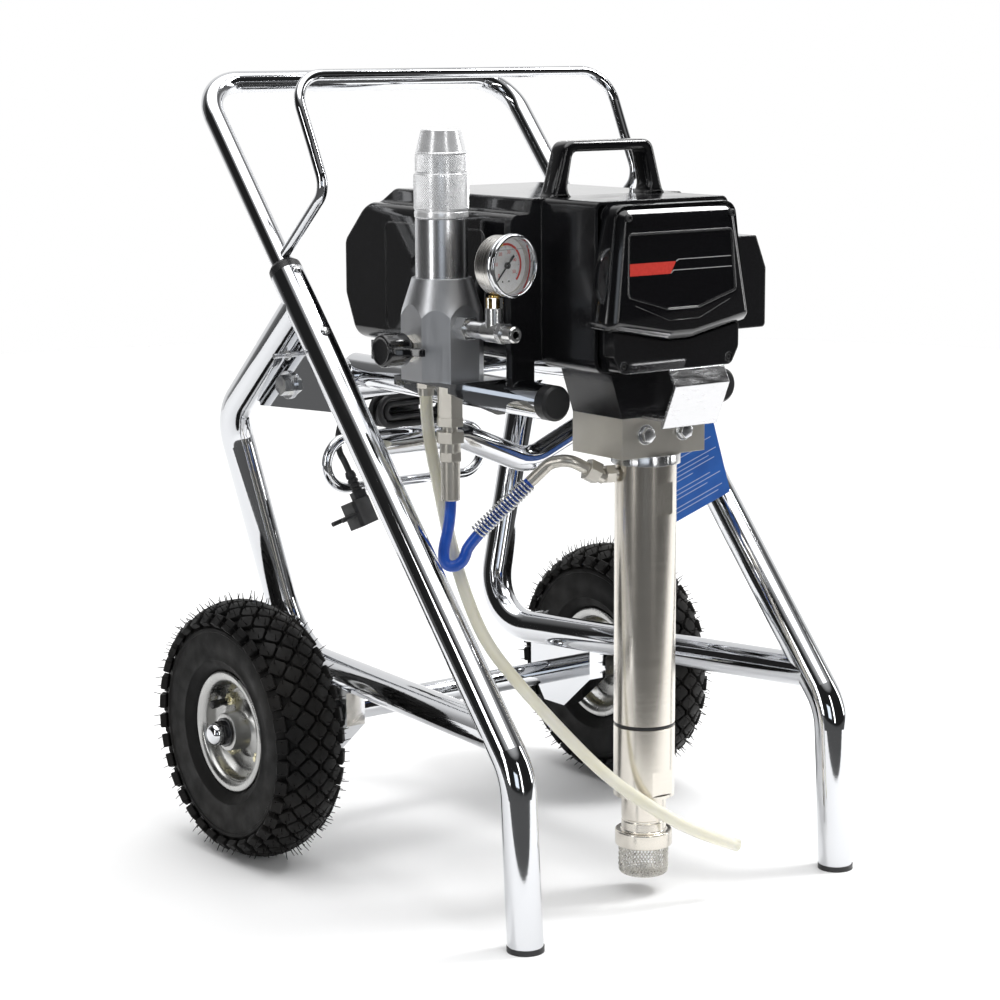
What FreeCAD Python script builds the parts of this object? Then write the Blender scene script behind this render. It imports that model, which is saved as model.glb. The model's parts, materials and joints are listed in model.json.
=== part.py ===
import FreeCAD, Part
import math
import os

# Airless paint sprayer on a wheeled cart. Millimetres, +Z up, the front towards -Y, the left towards -X.
# Places along Y are counted from the middle of the front feet. When a piece is written it moves by
# MIDDLE_Y, so that the origin lies on the floor under the middle of the whole object.

V = FreeCAD.Vector
UP = V(0, 0, 1)
ACROSS = V(1, 0, 0)
BACK = V(0, 1, 0)

# Clearances
RUN_GAP = 0.05          # radial, a shaft in its hole
FREE_GAP = 0.4          # between pieces that move past each other

# Cart tubes
TUBE_D = 33.3
TUBE_WALL = 2.0
CROSS_TUBE_D = 25.4
LEG_X = 193.8
KNEE_Y = 10.7
KNEE_Z = 161.2
LEG_SLANT = 41.04       # degrees from upright
LEG_RUN = 560.0         # from the knee's corner to the open end
LEG_BEND_R = 60.0
SIDE_JOINT_RUN = 41.2   # where the side rail meets the leg
REAR_JOINT_RUN = 524.8  # where the rear tube meets the leg
CROSS_RUN = 358.0       # where the V-shaped cross tube meets the leg
CROSS_BEND_X = 86.0
CROSS_DIP = 36.0
CROSS_BEND_R = 45.0
REAR_UPPER = (190.5, 495.2, 431.5)
REAR_LOWER = (127.0, 481.1, 174.3)
REAR_BEND_R = 62.0

# Foot plugs and leg collars
PLUG_RIM = 5.0
PLUG_LIP = 0.6
PLUG_DEPTH = 22.0
COLLAR_TOP = 10.5
COLLAR_DEPTH = 30.0
RIVET_R = 4.6
RIVET_BACK = 6.0        # rivet's distance down from the leg's open end
RIVET_HEAD = 2.8
RIVET_GRIP = 1.2        # gap between the handle and the rivet's end

# Handle
HANDLE_D = 22.0
HANDLE_WALL = 1.8
HANDLE_TOP_RUN = 803.3
HANDLE_LOW_RUN = 400.0
HANDLE_BEND_R = 46.0
SNAP_BELOW_END = 81.0   # the button's distance down from the leg's open end
SNAP_R = 4.4
SNAP_PROUD = 3.2
SNAP_DOME = 1.5
SNAP_LEAF = (6.0, 28.0, 1.0)    # width, length and thickness
SNAP_LEAF_LOW = 1.0     # the leaf lies this far behind the tube's axis
BRACE_D = 10.7
BRACE_GAP = 1.2         # above the leg collar
BRACE_CORNERS = ((309.0, 668.6), (330.0, 710.0))
BRACE_TOP = (195.4, 362.8, 776.1)
BRACE_BEND_R = 34.0
BRACE_SIDE_R = 20.0
BRACE_WALL = 1.2

# Wheels and axle
AXLE_Y = 396.5
AXLE_D = 16.0
AXLE_TUBE_D = 25.0
WHEEL_X = 236.4
TYRE_D = 260.0
TYRE_W = 70.0
TYRE_WALL = 7.0
RIM_SEAT_D = 104.0
RIM_FLANGE_D = 122.0
RIM_W = 52.0
RIM_PLATE = 2.5
HUB_D = 38.0
HUB_LENGTH = 58.0
BEARING_W = 9.0
NUT_FLATS = 24.0
AXLE_WASHER_H = 2.0
AXLE_NUT_H = 8.0
AXLE_SPARE = 16.0       # the axle ends this far outside the hub
DOME_PROFILE = ((0.0, 0.0), (11.5, 0.0), (10.5, 4.0), (7.5, 7.2), (0.0, 8.6))
RIM_BOLT_OUT = 17.0     # from the hub's tube
RIM_NUT = (11.0, 5.0)   # flats and height
VALVE_IN = 9.0          # from the rim's seat
VALVE_STEM = (3.2, 17.0)    # radius, and end beyond the wheel's middle
VALVE_CAP = (4.2, 25.0)
BRACKET_X = 145.0
BRACKET_W = 22.0
PLATE = 3.0
BRACKET_CORNERS = ((326.0, 190.0), (428.0, 190.0), (428.0, 128.0), (404.0, 97.0), (370.0, 97.0), (326.0, 134.0))
BRACKET_HOLLOW = ((323.0, 200.0), (425.0, 200.0), (425.0, 129.0), (402.0, 100.0), (372.0, 100.0),
                  (329.0, 136.0))

# Pivot and cradle
PIVOT_Y = 398.0
PIVOT_Z = 472.0
GUSSET_X = 180.0
GUSSET_PLATE = 4.0
GUSSET_LOW_Z = 456.0
GUSSET_EDGE = ((452.5, 445.5), (457.0, 455.0), (457.0, 466.0))
PIVOT_BOLT_D = 12.0
PIVOT_SOCKET = 3.0      # the socket stands in from the plate by this
PIVOT_GRIP = 22.0       # the bolt's length in the sleeve
PIVOT_WASHER = (14.0, 2.5)  # radius and thickness
PIVOT_HEAD = (18.0, 7.5)    # flats and height
SLEEVE_D = 42.0
SLEEVE_WALL = 3.0
SLEEVE_HALF = 172.0
RAIL_X = 101.4
RAIL_Z = 481.5
RAIL_D = 33.0
RAIL_WALL = 2.0
RAIL_FRONT = 84.0
RAIL_CAP = 14.0
LOCK_Y = 347.0
LOCK_Z = 509.0
LOCK_D = 5.0
LOCK_OUT = 231.0
LOCK_TIP = 4.0          # the pin stands in from the plate by this
LOCK_BOSS = 6.0
LOCK_FLANGE_X = (214.0, 216.5)
LOCK_FLANGE_R = 5.0

# Manifold bracket
SHELF_X = (-172.0, -117.0)
SHELF_Y = (139.0, 229.0)
SHELF_PLATE = 4.0
SHELF_LAP = 8.0         # the shelf runs this far on to the rail
FLANGE_LOW = 9.0
FLANGE_HIGH = 33.0
ADAPTER_HOLE_R = 9.0
DRAIN_HOLE_R = 7.0

# Ring that holds the cord
RING_Y = 457.0
RING_Z = 375.0
RING_W = 200.0
RING_H = 53.0
RING_D = 11.0
TAB_X = (-20.0, 20.0)
TAB_PLATE = 4.0
TAB_RISE = 6.0          # between the hank and the tab's shelf

# Pump
PUMP_Y = 65.0
BLOCK_HALF_X = 50.0
BLOCK_Y = (39.0, 112.0)
BLOCK_Z = (428.0, 466.0)
ROD_D = 18.0
CYLINDER_D = 58.5
CYLINDER_BORE = 36.0
JAM_NUT_H = 9.5
NECK_STEP = 6.0         # the cylinder's threaded neck is thinner than its body by this
SOCKET_ROOF = 11.0      # the pump block's thickness above the neck
INLET_FLAT_X = (-14.0, 10.0)
INLET_FLAT_Z = (372.0, 402.0)
INLET_FLAT_DEPTH = 1.6
CYLINDER_LOW = 215.0
COUPLING_TOP = 167.0
COUPLING_LOW = 97.0
COUPLING_FLAT_Z = (100.0, 124.0)
COUPLING_FLAT_DEPTH = 2.5
BALL_SEAT = 12.0        # above the coupling's foot
NECK_D = 43.0
NECK_LOW = 62.0
CAP_D = 55.0
CAP_LOW = 47.0
STRAINER_D = 48.0
STRAINER_LOW = 18.0
MESH = 1.2
BALL_R = 9.0
INLET_Z = 409.0
PORT_R = 5.5
PORT_SEAT_R = 23.0      # how near the cylinder's axis the port's thread comes
PISTON_LOW = 262.0
PISTON_H = 26.0
PACKINGS = 4
PACKING_H = 8.0
PACKING_PITCH = 9.0
BOLT_X = 23.0
BOLT_Z = 449.5
BOLT_R = 4.0
BOLT_DEPTH = 9.0
BOLT_WASHER = 1.6
BOLT_WASHER_R = 9.5
BOLT_HEAD = (13.0, 5.5)     # flats and height

# Gears, crank and rod
CRANK_Z = 600.0
THROW = 12.0
CRANK_TEETH = 46
SMALL_TEETH = 14
CRANK_MODULE = 2.0
BIG_TEETH = 52
MOTOR_TEETH = 12
MOTOR_MODULE = 1.25
PRESSURE_ANGLE = 25.0
BACKLASH = 0.12
REDUCTION_X = -34.4
WRIST_Z = 542.0
CRANK_PIN_R = 6.0
CRANK_CHEEK = 6.0
WRIST_PIN_R = 5.0
ROD_EYE = 10.0          # thickness of the connecting rod's eyes
CHEEK = 6.0             # thickness of the fork's cheeks
FORK_HALF_X = 12.0
FORK_BASE_H = 12.0
CRANK_SHAFT_R = 9.0
REDUCTION_SHAFT_R = 5.0
CRANK_GEAR_Y = (90.0, 102.0)
BIG_GEAR_Y = (106.0, 115.0)
FACE_EXTRA = 1.0        # a pinion is wider than its gear by this at each side
SHAFT_BACK = 3.0        # the shafts end this far inside the flange's rear face

# Housings
SKIN = 3.5
COVER_Y = (12.0, 43.0)
COVER_CORNERS = ((71.0, 662.0), (87.5, 551.0), (14.0, 537.0))
COVER_ROUNDS = (14.0, 9.0, 22.0)
COVER_HOLLOW_ROUNDS = (11.0, 6.0, 19.0)
COVER_LEAN = 7.0        # the cover's top leans back by this
COVER_LEAN_Z = (552.0, 662.0)
BADGE_DEPTH = 0.8
BADGE_CORNERS = ((62.0, 636.0), (72.0, 577.0), (18.0, 563.0))
BADGE_ROUND = 3.0
LOWER_Y = 24.0
LOWER_CORNERS = ((75.0, 560.0), (75.0, 526.0), (66.0, 510.0))
LOWER_HOLLOW = ((71.5, 570.0), (71.5, 527.0), (64.0, 513.5))
LOWER_ROUND = 8.0
LOWER_HOLLOW_ROUND = 5.0
POST_HIGH = (7.0, 11.0)     # radii of the upper screws' posts in the cover and the housing
POST_LOW = (6.0, 8.0)
POST_DEPTH = 12.0
SCREW_SEAT = 6.0        # the upper screws' heads lie this far behind the cover's front
SCREWS_HIGH = (62.0, 651.0)
SCREWS_LOW = (63.4, 517.0)
GEARCASE_X = 80.0
GEARCASE_Y = 121.0
FLANGE_Y = 130.0
GEARCASE_LOW = 508.0
GEARCASE_ROUNDS = (8.0, 14.0)
CHAMBER_ROUNDS = (5.0, 11.0)
NOSE_TOP = (66.0, 6.0)  # the nose's half width at its top, and its rise above the housing's floor
WEB_Y = (78.0, 84.0)
NOSE_BORE = 24.0
FLANGE_HALF_X = 116.0
MOTOR_HALF_X = 110.5
MOTOR_Y = 400.0
MOTOR_Z = (515.0, 651.0)
MOTOR_REAR_Z = (560.0, 612.0)   # the flat part of the rear face
MOTOR_REAR_IN = 20.0
MOTOR_ROUNDS = (8.0, 12.0)
HEAD_ROUNDS = (4.0, 4.0, 10.0, 14.0)
SLOT_Z = (568.0, 604.0)
SLOT_W = 4.0
SLOT_PITCH = 12.0
SLOTS = 9
LABEL_Y = (168.0, 330.0)
LABEL_Z = (530.0, 634.0)
LABEL_ROUND = 8.0
DECK_X = 90.0
DECK_Z = 665.0
DECK_SLOPE = 4.0        # how much wider the deck is at its foot
DECK_BACK = (341.0, 361.0)
HANDLE_Y = 130.0
GRIP_TOP = 716.0
GRIP_HALF_X = (60.0, 73.0)  # at its top and its foot
GRIP_HALF_Y = 13.0
GRIP_ROUND = 9.0
FINGER_HALF_X = 38.0
FINGER_HEIGHTS = (4.0, 11.0)    # above the deck, and below the grip's top
FINGER_ROUND = 6.0
GRIP_HOLLOW = ((50.0, 696.0), (60.0, 664.0))
GRIP_HOLLOW_Y = 9.0
BOX_X = (80.0, 140.0)
BOX_Y = (55.0, 121.0)
BOX_Z = (537.0, 625.0)
BOX_SLOPE = (13.0, 31.4)    # the slanted top edge's width and height
BOX_ROUNDS = (4.0, 3.0)
SCREW_R = 3.4
SCREW_HEAD = 2.6
SCREW_SHANK_R = 2.0
SCREW_GRIP = 9.0
KNOB_IN = 43.0          # from the box's front
SWITCH_IN = 15.0
CONTROL_RISE = 29.0     # from the box's floor
CONTROL_R = 16.0
CONTROL_H = 17.0
CONTROL_STEM_R = 3.0
SWITCH_HALF = (7.0, 11.0)   # half the window's width and height
ROCKER_HALF = (6.0, 9.0)
ROCKER_RISE = (1.0, 3.0, 5.5)   # how far its low end, middle and high end stand out
ROCKER_PIN = (1.5, 3.0)     # radius, and depth behind the box's face
FOOT_HALF_X = 13.0      # half the width of the feet that stand on the rails
FOOT_LOW = 6.0          # the feet reach down to this above the rails' axes
REAR_FOOT_Y = (340.0, 360.0)
REAR_FOOT_IN = 6.0      # the rear feet stand nearer the middle than the rails by this

# Motor
STATOR_R = 48.5
STATOR_BORE = 30.0
STATOR_Y = (150.0, 232.0)
ROTOR_R = 29.4
SHAFT_R = 6.0
FAN_R = 44.0
FAN_Y = 300.0
FAN_HALF = 8.0
FAN_HUB_R = 14.0
FAN_BLADE = 2.0

# Manifold
BLOCK_X = -148.0
BLOCK_MID_Y = 184.0
BLOCK_SIDE = 71.0
BLOCK_CHAMFER = 19.0
BLOCK_H = 94.0
CONE_TOP_R = 28.0
CONE_GROWTH = 0.32
FILTER_R = 24.6
FILTER_TUBE_H = 55.0
COLLAR_R = 25.5
COLLAR_H = 41.0
KNURL_R = 24.0
KNURL_H = 18.0
CONE_H = 22.0
CONE_END_R = 18.5
CAP_HOLE = (10.0, 12.0)     # radius and depth of the socket in the cap's top
FILTER_THREAD = (3.0, 15.0, 16.0)   # depth of the thread, its length in the cap and in the block
CHAMBER_FLOOR = 26.0
FILTER_BORE = 16.0
ELEMENT_R = 12.0

# Prime valve
PRIME_Z = 528.0
PRIME_KNOB_R = 15.5
PRIME_KNOB_X = (-190.5, -225.0)
PRIME_NUT = (22.0, 5.0)
PRIME_SHANK = (8.0, 14.0)   # radius and depth
PRIME_STEM_R = 3.0
WING_Y = 26.0           # the lever's end
WING_HALF = 3.5

# Gauge and its tee
TEE_X = -150.0
TEE_Z = 548.0
TEE_Y = 100.0
TEE_FRONT = 68.5
TEE_HALF = 11.0
TEE_R = 9.5
TEE_NECK_R = 8.0
TEE_SHANK = (7.0, 12.0)     # radius and depth in the block
TEE_NUT = (20.0, 12.0)
TEE_COLLAR = (18.0, 6.0)
TEE_RISER = (8.5, 22.0)     # radius and height
TEE_BORE_R = 3.5
OUTLET_R = 7.6
NIPPLE_FLATS = 14.0
GAUGE = (-147.0, 88.0, 609.0)
GAUGE_R = 29.0
GAUGE_DEPTH = 27.0
GAUGE_TURN = 8.0        # degrees that the face looks towards the right
GAUGE_RIM = 2.5
NEEDLE_LENGTH = 20.5
NEEDLE_TAIL = 12.0
NEEDLE_ANGLE = 226.0    # degrees from the gauge's right side, anticlockwise as seen from the front
POST_R = 1.2

# Drain tube and pressure hose
DRAIN_X = -158.0
DRAIN_Y = 197.0
DRAIN_FITTING_H = 17.0
DRAIN_SHANK = (5.0, 10.0)   # radius, and depth in the block
DRAIN_CUP = (1.8, 5.0)  # the cup's wall, and its roof below the block
DRAIN_PUSH = (12.0, 30.0)   # the tube's end, and the end of its upright run, below the block
DRAIN_BENDS = ((-155.0, 196.5, 438.0), (-150.0, 189.5, 396.0), (-146.5, 177.0, 344.0), (-141.5, 159.0, 293.0),
               (-133.0, 138.5, 249.0), (-113.0, 113.0, 211.0), (-87.0, 82.0, 168.0), (-59.0, 50.0, 127.0),
               (-24.0, 26.0, 96.0), (16.0, 9.0, 68.0), (60.3, -3.0, 49.6))
DRAIN_D = 12.0
DRAIN_WALL = 1.6
HOSE_X = -156.5
HOSE_Y = 161.0
HOSE_D = 11.0
HOSE_DROP = 18.0
HOSE_CORNERS = ((-163.8, 166.5, 331.0), (-157.5, 161.8, 321.0), (-146.8, 153.7, 327.0))
HOSE_BACK = 9.0         # the last corner lies this far before the spring
HOSE_BENDS = (60.0, 11.0, 10.0, 11.0, 26.0)
SPRING_WIRE = 2.2
SPRING_TURNS = 18
SPRING_GAP = 0.5
ADAPTER_STEPS = ((22.0, 30.0), (23.0, 8.0))     # flats and height of the adapter's hexagons
ADAPTER_NECK_Z = 43.0
ADAPTER_R = 7.0
ADAPTER_DEPTH = 12.0
SWIVEL = (24.0, 10.5)   # flats and height
SWIVEL_RING = (9.8, 9.0)    # radius and height
ADAPTER_END_FLATS = 19.0
FERRULE_LOW = 386.0
FERRULE_TOP = 423.0
FERRULE_R = 9.1
GUARD_START = (-138.5, 147.5, 352.6)
GUARD_END = (-97.3, 116.6, 402.6)
BEND_RUN = 26.0         # the chromed bend's straight run beyond the spring
BEND_R = 16.0
BEND_CORNER = (48.0, 16.0)  # out from the port, and above it
BEND_END = (27.0, 5.0)
BEND_NUT = (19.0, 12.0)
BEND_MIDDLE = (7.0, 7.0)    # radius and length
PORT_NUT = (16.0, 9.0)

# Power cord
CORD_D = 6.8
HANK_X = (-58.0, 52.0)
HANK_LAYERS = 4
HANK_H = 40.0
HANK_STEP = 7.5
HANK_BACK = 450.4
LAYER_STEP = 7.6
GLAND_X = 84.0
GLAND_Z = 580.0
GLAND_LENGTH = 16.0
GLAND_R = 8.0
PLUG_TOP = (-77.9, 449.0, 367.1)
PLUG_WAY = (0.233, -0.333, -0.914)
PLUG_SIDE = (-0.95, -0.12, -0.28)
PLUG_HEAD = ((-7.0, -8.0), (20.0, -13.0), (20.0, 13.0), (-7.0, 8.0))
PLUG_HEAD_RUN = (30.0, 58.0)
PLUG_SPINE = ((-7.0, -7.0), (8.0, -7.0), (8.0, 7.0), (-7.0, 7.0))
PLUG_SPINE_RUN = (22.0, 34.0)
PRONG = (2.4, 19.0)     # radius and length
PRONG_PLACE = (19.5, 9.5, 44.0)
RELIEF_R = (1.2, 2.2)   # how much the strain relief's grooves and ribs exceed the cord
RELIEF_RIB = (4.0, 3.0, 5.0)    # first rib's start, width and pitch
RELIEF_RIBS = 4
BOOT = (6.2, 24.0, 40.0)    # radius, start and end of the boot's smooth part
CORD_ENTRY = 11.5       # the cord is straight for this length before the plug
LEAD_START_X = -52.0
LEAD_CORNERS = ((-61.5, 452.0, 441.5), (-69.5, 456.5, 434.0), (-74.5, 462.5, 423.5), (-77.0, 467.0, 411.0),
                (-79.0, 467.5, 397.5), (-81.2, 461.5, 385.5))
TAIL_START_X = 47.0
TAIL_CORNERS = ((60.0, 428.5, 449.0), (72.0, 432.0, 462.0), (80.0, 438.5, 480.0), (84.5, 445.0, 502.0),
                (86.5, 449.5, 525.0), (86.5, 450.5, 546.0), (85.5, 446.0, 563.0), (84.5, 438.0, 574.0))
TAIL_STRAIGHT = 12.5

# Pail hook and tag
HOOK_HALF_X = 32.6
HOOK_PLATE = 3.0
HOOK_TAB = 12.0         # the hook's tab reaches this far under the housing
HOOK_CORNERS = ((4.0, 461.0), (-13.0, 500.0), (-5.0, 514.0))
TAG_PLATE = 0.8
TAG_CORNERS = ((65.0, 452.0), (109.0, 371.0), (73.0, 351.0), (28.0, 432.0))
TAG_HOLE = (58.0, 441.0)
TAG_HOLE_R = 2.0
TAG_ROUND = 3.0

SLANT_Y = math.sin(math.radians(LEG_SLANT))
SLANT_Z = math.cos(math.radians(LEG_SLANT))
TUBE_R = TUBE_D / 2
LEG_BORE = TUBE_R - TUBE_WALL
HANDLE_R = HANDLE_D / 2
WHEEL_Z = TYRE_D / 2
AXLE_END = WHEEL_X + HUB_LENGTH / 2 + AXLE_SPARE
SNAP_RUN = LEG_RUN - SNAP_BELOW_END
MIDDLE_Y = (KNEE_Y + HANDLE_TOP_RUN * SLANT_Y + HANDLE_R - TUBE_R - PLUG_LIP) / 2
RAIL_R = RAIL_D / 2
SLEEVE_R = SLEEVE_D / 2
SHELF_TOP = RAIL_Z + RAIL_R
BLOCK_BOTTOM = SHELF_TOP
BLOCK_TOP = BLOCK_BOTTOM + BLOCK_H
BLOCK_FRONT = BLOCK_MID_Y - BLOCK_SIDE / 2
BLOCK_LEFT = BLOCK_X - BLOCK_SIDE / 2
CYLINDER_TOP = BLOCK_Z[0] - JAM_NUT_H
PORT_WAY = V(-0.95, 0.31, 0).normalize()
PORT_FACE = V(0, PUMP_Y, INLET_Z) + PORT_WAY * (CYLINDER_D / 2)
GUARD_LOW = V(*GUARD_START)
GUARD_HIGH = V(*GUARD_END)
GUARD_WAY = (GUARD_HIGH - GUARD_LOW).normalize()
KNOB_Y = BOX_Y[0] + KNOB_IN
SWITCH_Y = BOX_Y[0] + SWITCH_IN
CONTROL_Z = BOX_Z[0] + CONTROL_RISE
REACH_CRANK = CRANK_MODULE * (CRANK_TEETH + SMALL_TEETH) / 2
REACH_MOTOR = MOTOR_MODULE * (BIG_TEETH + MOTOR_TEETH) / 2
REDUCTION_Z = CRANK_Z - math.sqrt(REACH_CRANK ** 2 - REDUCTION_X ** 2)
MOTOR_AXIS_Z = REDUCTION_Z + math.sqrt(REACH_MOTOR ** 2 - REDUCTION_X ** 2)
CRANK_AXIS = (0.0, CRANK_Z)
REDUCTION_AXIS = (REDUCTION_X, REDUCTION_Z)
MOTOR_AXIS = (0.0, MOTOR_AXIS_Z)
SHAFT_END = FLANGE_Y - SHAFT_BACK
GAUGE_WAY = V(math.sin(math.radians(GAUGE_TURN)), -math.cos(math.radians(GAUGE_TURN)), 0)
GAUGE_BACK = V(*GAUGE) - GAUGE_WAY * (GAUGE_DEPTH / 2)
RING_TOP = RING_Z + RING_H / 2
HANK_LOW = RING_TOP + RING_D / 2 + FREE_GAP
HANK_Z = HANK_LOW + HANK_H / 2
HANK_TOP_RUN = HANK_Z + HANK_H / 2 - CORD_D / 2
HANK_LEFT = HANK_X[0] + HANK_H / 2 - CORD_D
HANK_RIGHT = HANK_X[1] - HANK_H / 2 + CORD_D
HANK_FRONT = HANK_BACK - LAYER_STEP * (HANK_LAYERS - 1)
GLAND = (GLAND_X, MOTOR_Y, GLAND_Z)
TAG_Y = BLOCK_Y[1]


def leg_point(run, lift=0.0, x=LEG_X):
    """A point at a run along the leg from its knee, lifted off the axis towards the upper front."""
    return V(x, KNEE_Y + run * SLANT_Y - lift * SLANT_Z, KNEE_Z + run * SLANT_Z + lift * SLANT_Y)


LEG_UP = V(0, SLANT_Y, SLANT_Z)
LEG_FACE = V(0, -SLANT_Z, SLANT_Y)


def block(x, y, z):
    """A box between two values on each axis."""
    low = V(min(x), min(y), min(z))
    return Part.makeBox(abs(x[1] - x[0]), abs(y[1] - y[0]), abs(z[1] - z[0]), low)


def rod(start, end, radius):
    start = V(*start)
    run = V(*end) - start
    return Part.makeCylinder(radius, run.Length, start, run)


def pipe(start, end, outer, inner):
    return rod(start, end, outer).cut(rod(start, end, inner))


def turned(profile, origin, axis=UP):
    """A profile of (radius, height) points turned about an axis through the origin given."""
    place = FreeCAD.Placement(V(*origin), FreeCAD.Rotation(UP, V(*axis)))
    points = [place.multVec(V(r, 0, h)) for r, h in profile]
    return Part.Face(Part.makePolygon(points + points[:1])).revolve(V(*origin), V(*axis), 360)


def hexagon(start, axis, flats, height):
    """A hexagonal bar across flats, standing on start along axis."""
    radius = flats / math.sqrt(3)
    turn = FreeCAD.Placement(V(*start), FreeCAD.Rotation(UP, V(*axis)))
    corners = [turn.multVec(V(radius * math.cos(a), radius * math.sin(a), 0))
               for a in (math.pi / 3 * k for k in range(7))]
    return Part.Face(Part.makePolygon(corners)).extrude(V(*axis).normalize() * height)


def corner_arc(before, corner, after, radius):
    """The points where a tangent arc enters a corner, its middle, and where it leaves."""
    back = (before - corner).normalize()
    front = (after - corner).normalize()
    half = (math.pi - back.getAngle(front)) / 2
    reach = radius * math.tan(half)
    middle = corner + (back + front).normalize() * (radius / math.cos(half) - radius)
    return corner + back * reach, middle, corner + front * reach


def bent_path(points, radii):
    """A wire of straight runs joined by tangent arcs. One radius, or a list with one per corner."""
    points = [V(*p) for p in points]
    if not isinstance(radii, list):
        radii = [radii] * (len(points) - 2)
    edges = []
    start = points[0]
    for before, corner, after, radius in zip(points, points[1:], points[2:], radii):
        enter, middle, leave = corner_arc(before, corner, after, radius)
        edges.append(Part.LineSegment(start, enter).toShape())
        edges.append(Part.Arc(enter, middle, leave).toShape())
        start = leave
    edges.append(Part.LineSegment(start, points[-1]).toShape())
    return Part.Wire(edges)


def sweep(path, radius):
    """A round bar along a wire."""
    first = path.Edges[0]
    start = first.valueAt(first.FirstParameter)
    section = Part.Wire(Part.makeCircle(radius, start, first.tangentAt(first.FirstParameter)))
    return path.makePipeShell([section], True, False)


def bent_tube(points, radii, outer, inner):
    path = bent_path(points, radii)
    return sweep(path, outer).cut(sweep(path, inner))


def outline(points, radii):
    """A closed wire through corners, each rounded by its radius where that is above zero."""
    points = [V(*p) for p in points]
    if not isinstance(radii, list):
        radii = [radii] * len(points)
    count = len(points)
    spans = []
    for i, radius in enumerate(radii):
        if radius > 0:
            spans.append(corner_arc(points[i - 1], points[i], points[(i + 1) % count], radius))
        else:
            spans.append((points[i], None, points[i]))
    edges = []
    for i, (enter, middle, leave) in enumerate(spans):
        if middle is not None:
            edges.append(Part.Arc(enter, middle, leave).toShape())
        following = spans[(i + 1) % count][0]
        if (following - leave).Length > 1e-6:
            edges.append(Part.LineSegment(leave, following).toShape())
    return Part.Wire(edges)


def slab_x(corners, x, radii=0):
    """A plate with a (y, z) outline, between two values of x."""
    wire = outline([(min(x), y, z) for y, z in corners], radii)
    return Part.Face(wire).extrude(V(abs(x[1] - x[0]), 0, 0))


def slab_y(corners, y, radii=0):
    """A plate with an (x, z) outline, between two values of y."""
    wire = outline([(px, min(y), pz) for px, pz in corners], radii)
    return Part.Face(wire).extrude(V(0, abs(y[1] - y[0]), 0))


def slab_z(corners, z, radii=0):
    """A plate with an (x, y) outline, between two values of z."""
    wire = outline([(px, py, min(z)) for px, py in corners], radii)
    return Part.Face(wire).extrude(V(0, 0, abs(z[1] - z[0])))


def both_halves(corners):
    """Corners with x above zero, and their mirror images in reverse, as one outline."""
    return corners + [(-x, z) for x, z in reversed(corners)]


def both_ways(values):
    """Values for the corners of both halves."""
    return list(values) + list(reversed(values))


def mirrored(shape):
    return shape.mirror(V(0, 0, 0), ACROSS)


def pair(shape):
    """A piece on the right side and its mirror image on the left."""
    return [shape, mirrored(shape)]


def joined(first, *others):
    return first.fuse(list(others)).removeSplitter()


def largest(shape):
    """The largest solid of a shape, without the slivers that a curved cut leaves beyond it."""
    return max(shape.Solids, key=lambda solid: solid.Volume)


PIECES = {}


def keep(node, *solids):
    """Store the solids of one sub-part, moved into the frame whose origin is under the middle."""
    shapes = []
    for solid in solids:
        parts = solid.Solids
        if not parts:
            raise ValueError(node + " has no solid")
        shapes.extend(part.translated(V(0, -MIDDLE_Y, 0)) for part in parts)
    PIECES[node] = shapes[0] if len(shapes) == 1 else Part.makeCompound(shapes)


# The cart's frame

def leg_axis(radius):
    """One leg from its foot to its open end, as a solid bar."""
    path = bent_path([(LEG_X, 0, 0), (LEG_X, KNEE_Y, KNEE_Z), leg_point(LEG_RUN)], LEG_BEND_R)
    return sweep(path, radius)


def rear_axis(radius):
    """One rear tube, from the leg's upper part down and forward to its lower part."""
    points = [leg_point(REAR_JOINT_RUN), REAR_UPPER, REAR_LOWER, leg_point(SIDE_JOINT_RUN)]
    return sweep(bent_path(points, REAR_BEND_R), radius)


def below(height):
    """Everything under a height, to trim a foot."""
    return block((-400, 400), (-200, 800), (-100, height))


def snap_hole(radius):
    return rod(leg_point(SNAP_RUN), leg_point(SNAP_RUN, TUBE_R + 5), radius)


def rivet_shank(radius):
    run = LEG_RUN - RIVET_BACK
    return rod(leg_point(run, HANDLE_R + RIVET_GRIP), leg_point(run, TUBE_R + 0.1), radius)


def leg_tube():
    tube = leg_axis(TUBE_R).cut(leg_axis(LEG_BORE))
    return tube.cut([below(PLUG_RIM), snap_hole(SNAP_R + FREE_GAP), rivet_shank(RIVET_R / 2)])


def rear_tube():
    return rear_axis(TUBE_R).cut([rear_axis(LEG_BORE), leg_axis(TUBE_R)])


def cross_tube():
    """The V-shaped tube between the legs."""
    end = leg_point(CROSS_RUN)
    bend = (CROSS_BEND_X, end.y, end.z)
    points = [tuple(end), bend, (0, end.y, end.z - CROSS_DIP), (-bend[0], end.y, end.z), (-end.x, end.y, end.z)]
    tube = bent_tube(points, CROSS_BEND_R, CROSS_TUBE_D / 2, CROSS_TUBE_D / 2 - TUBE_WALL)
    return tube.cut(pair(leg_axis(TUBE_R)))


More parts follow.
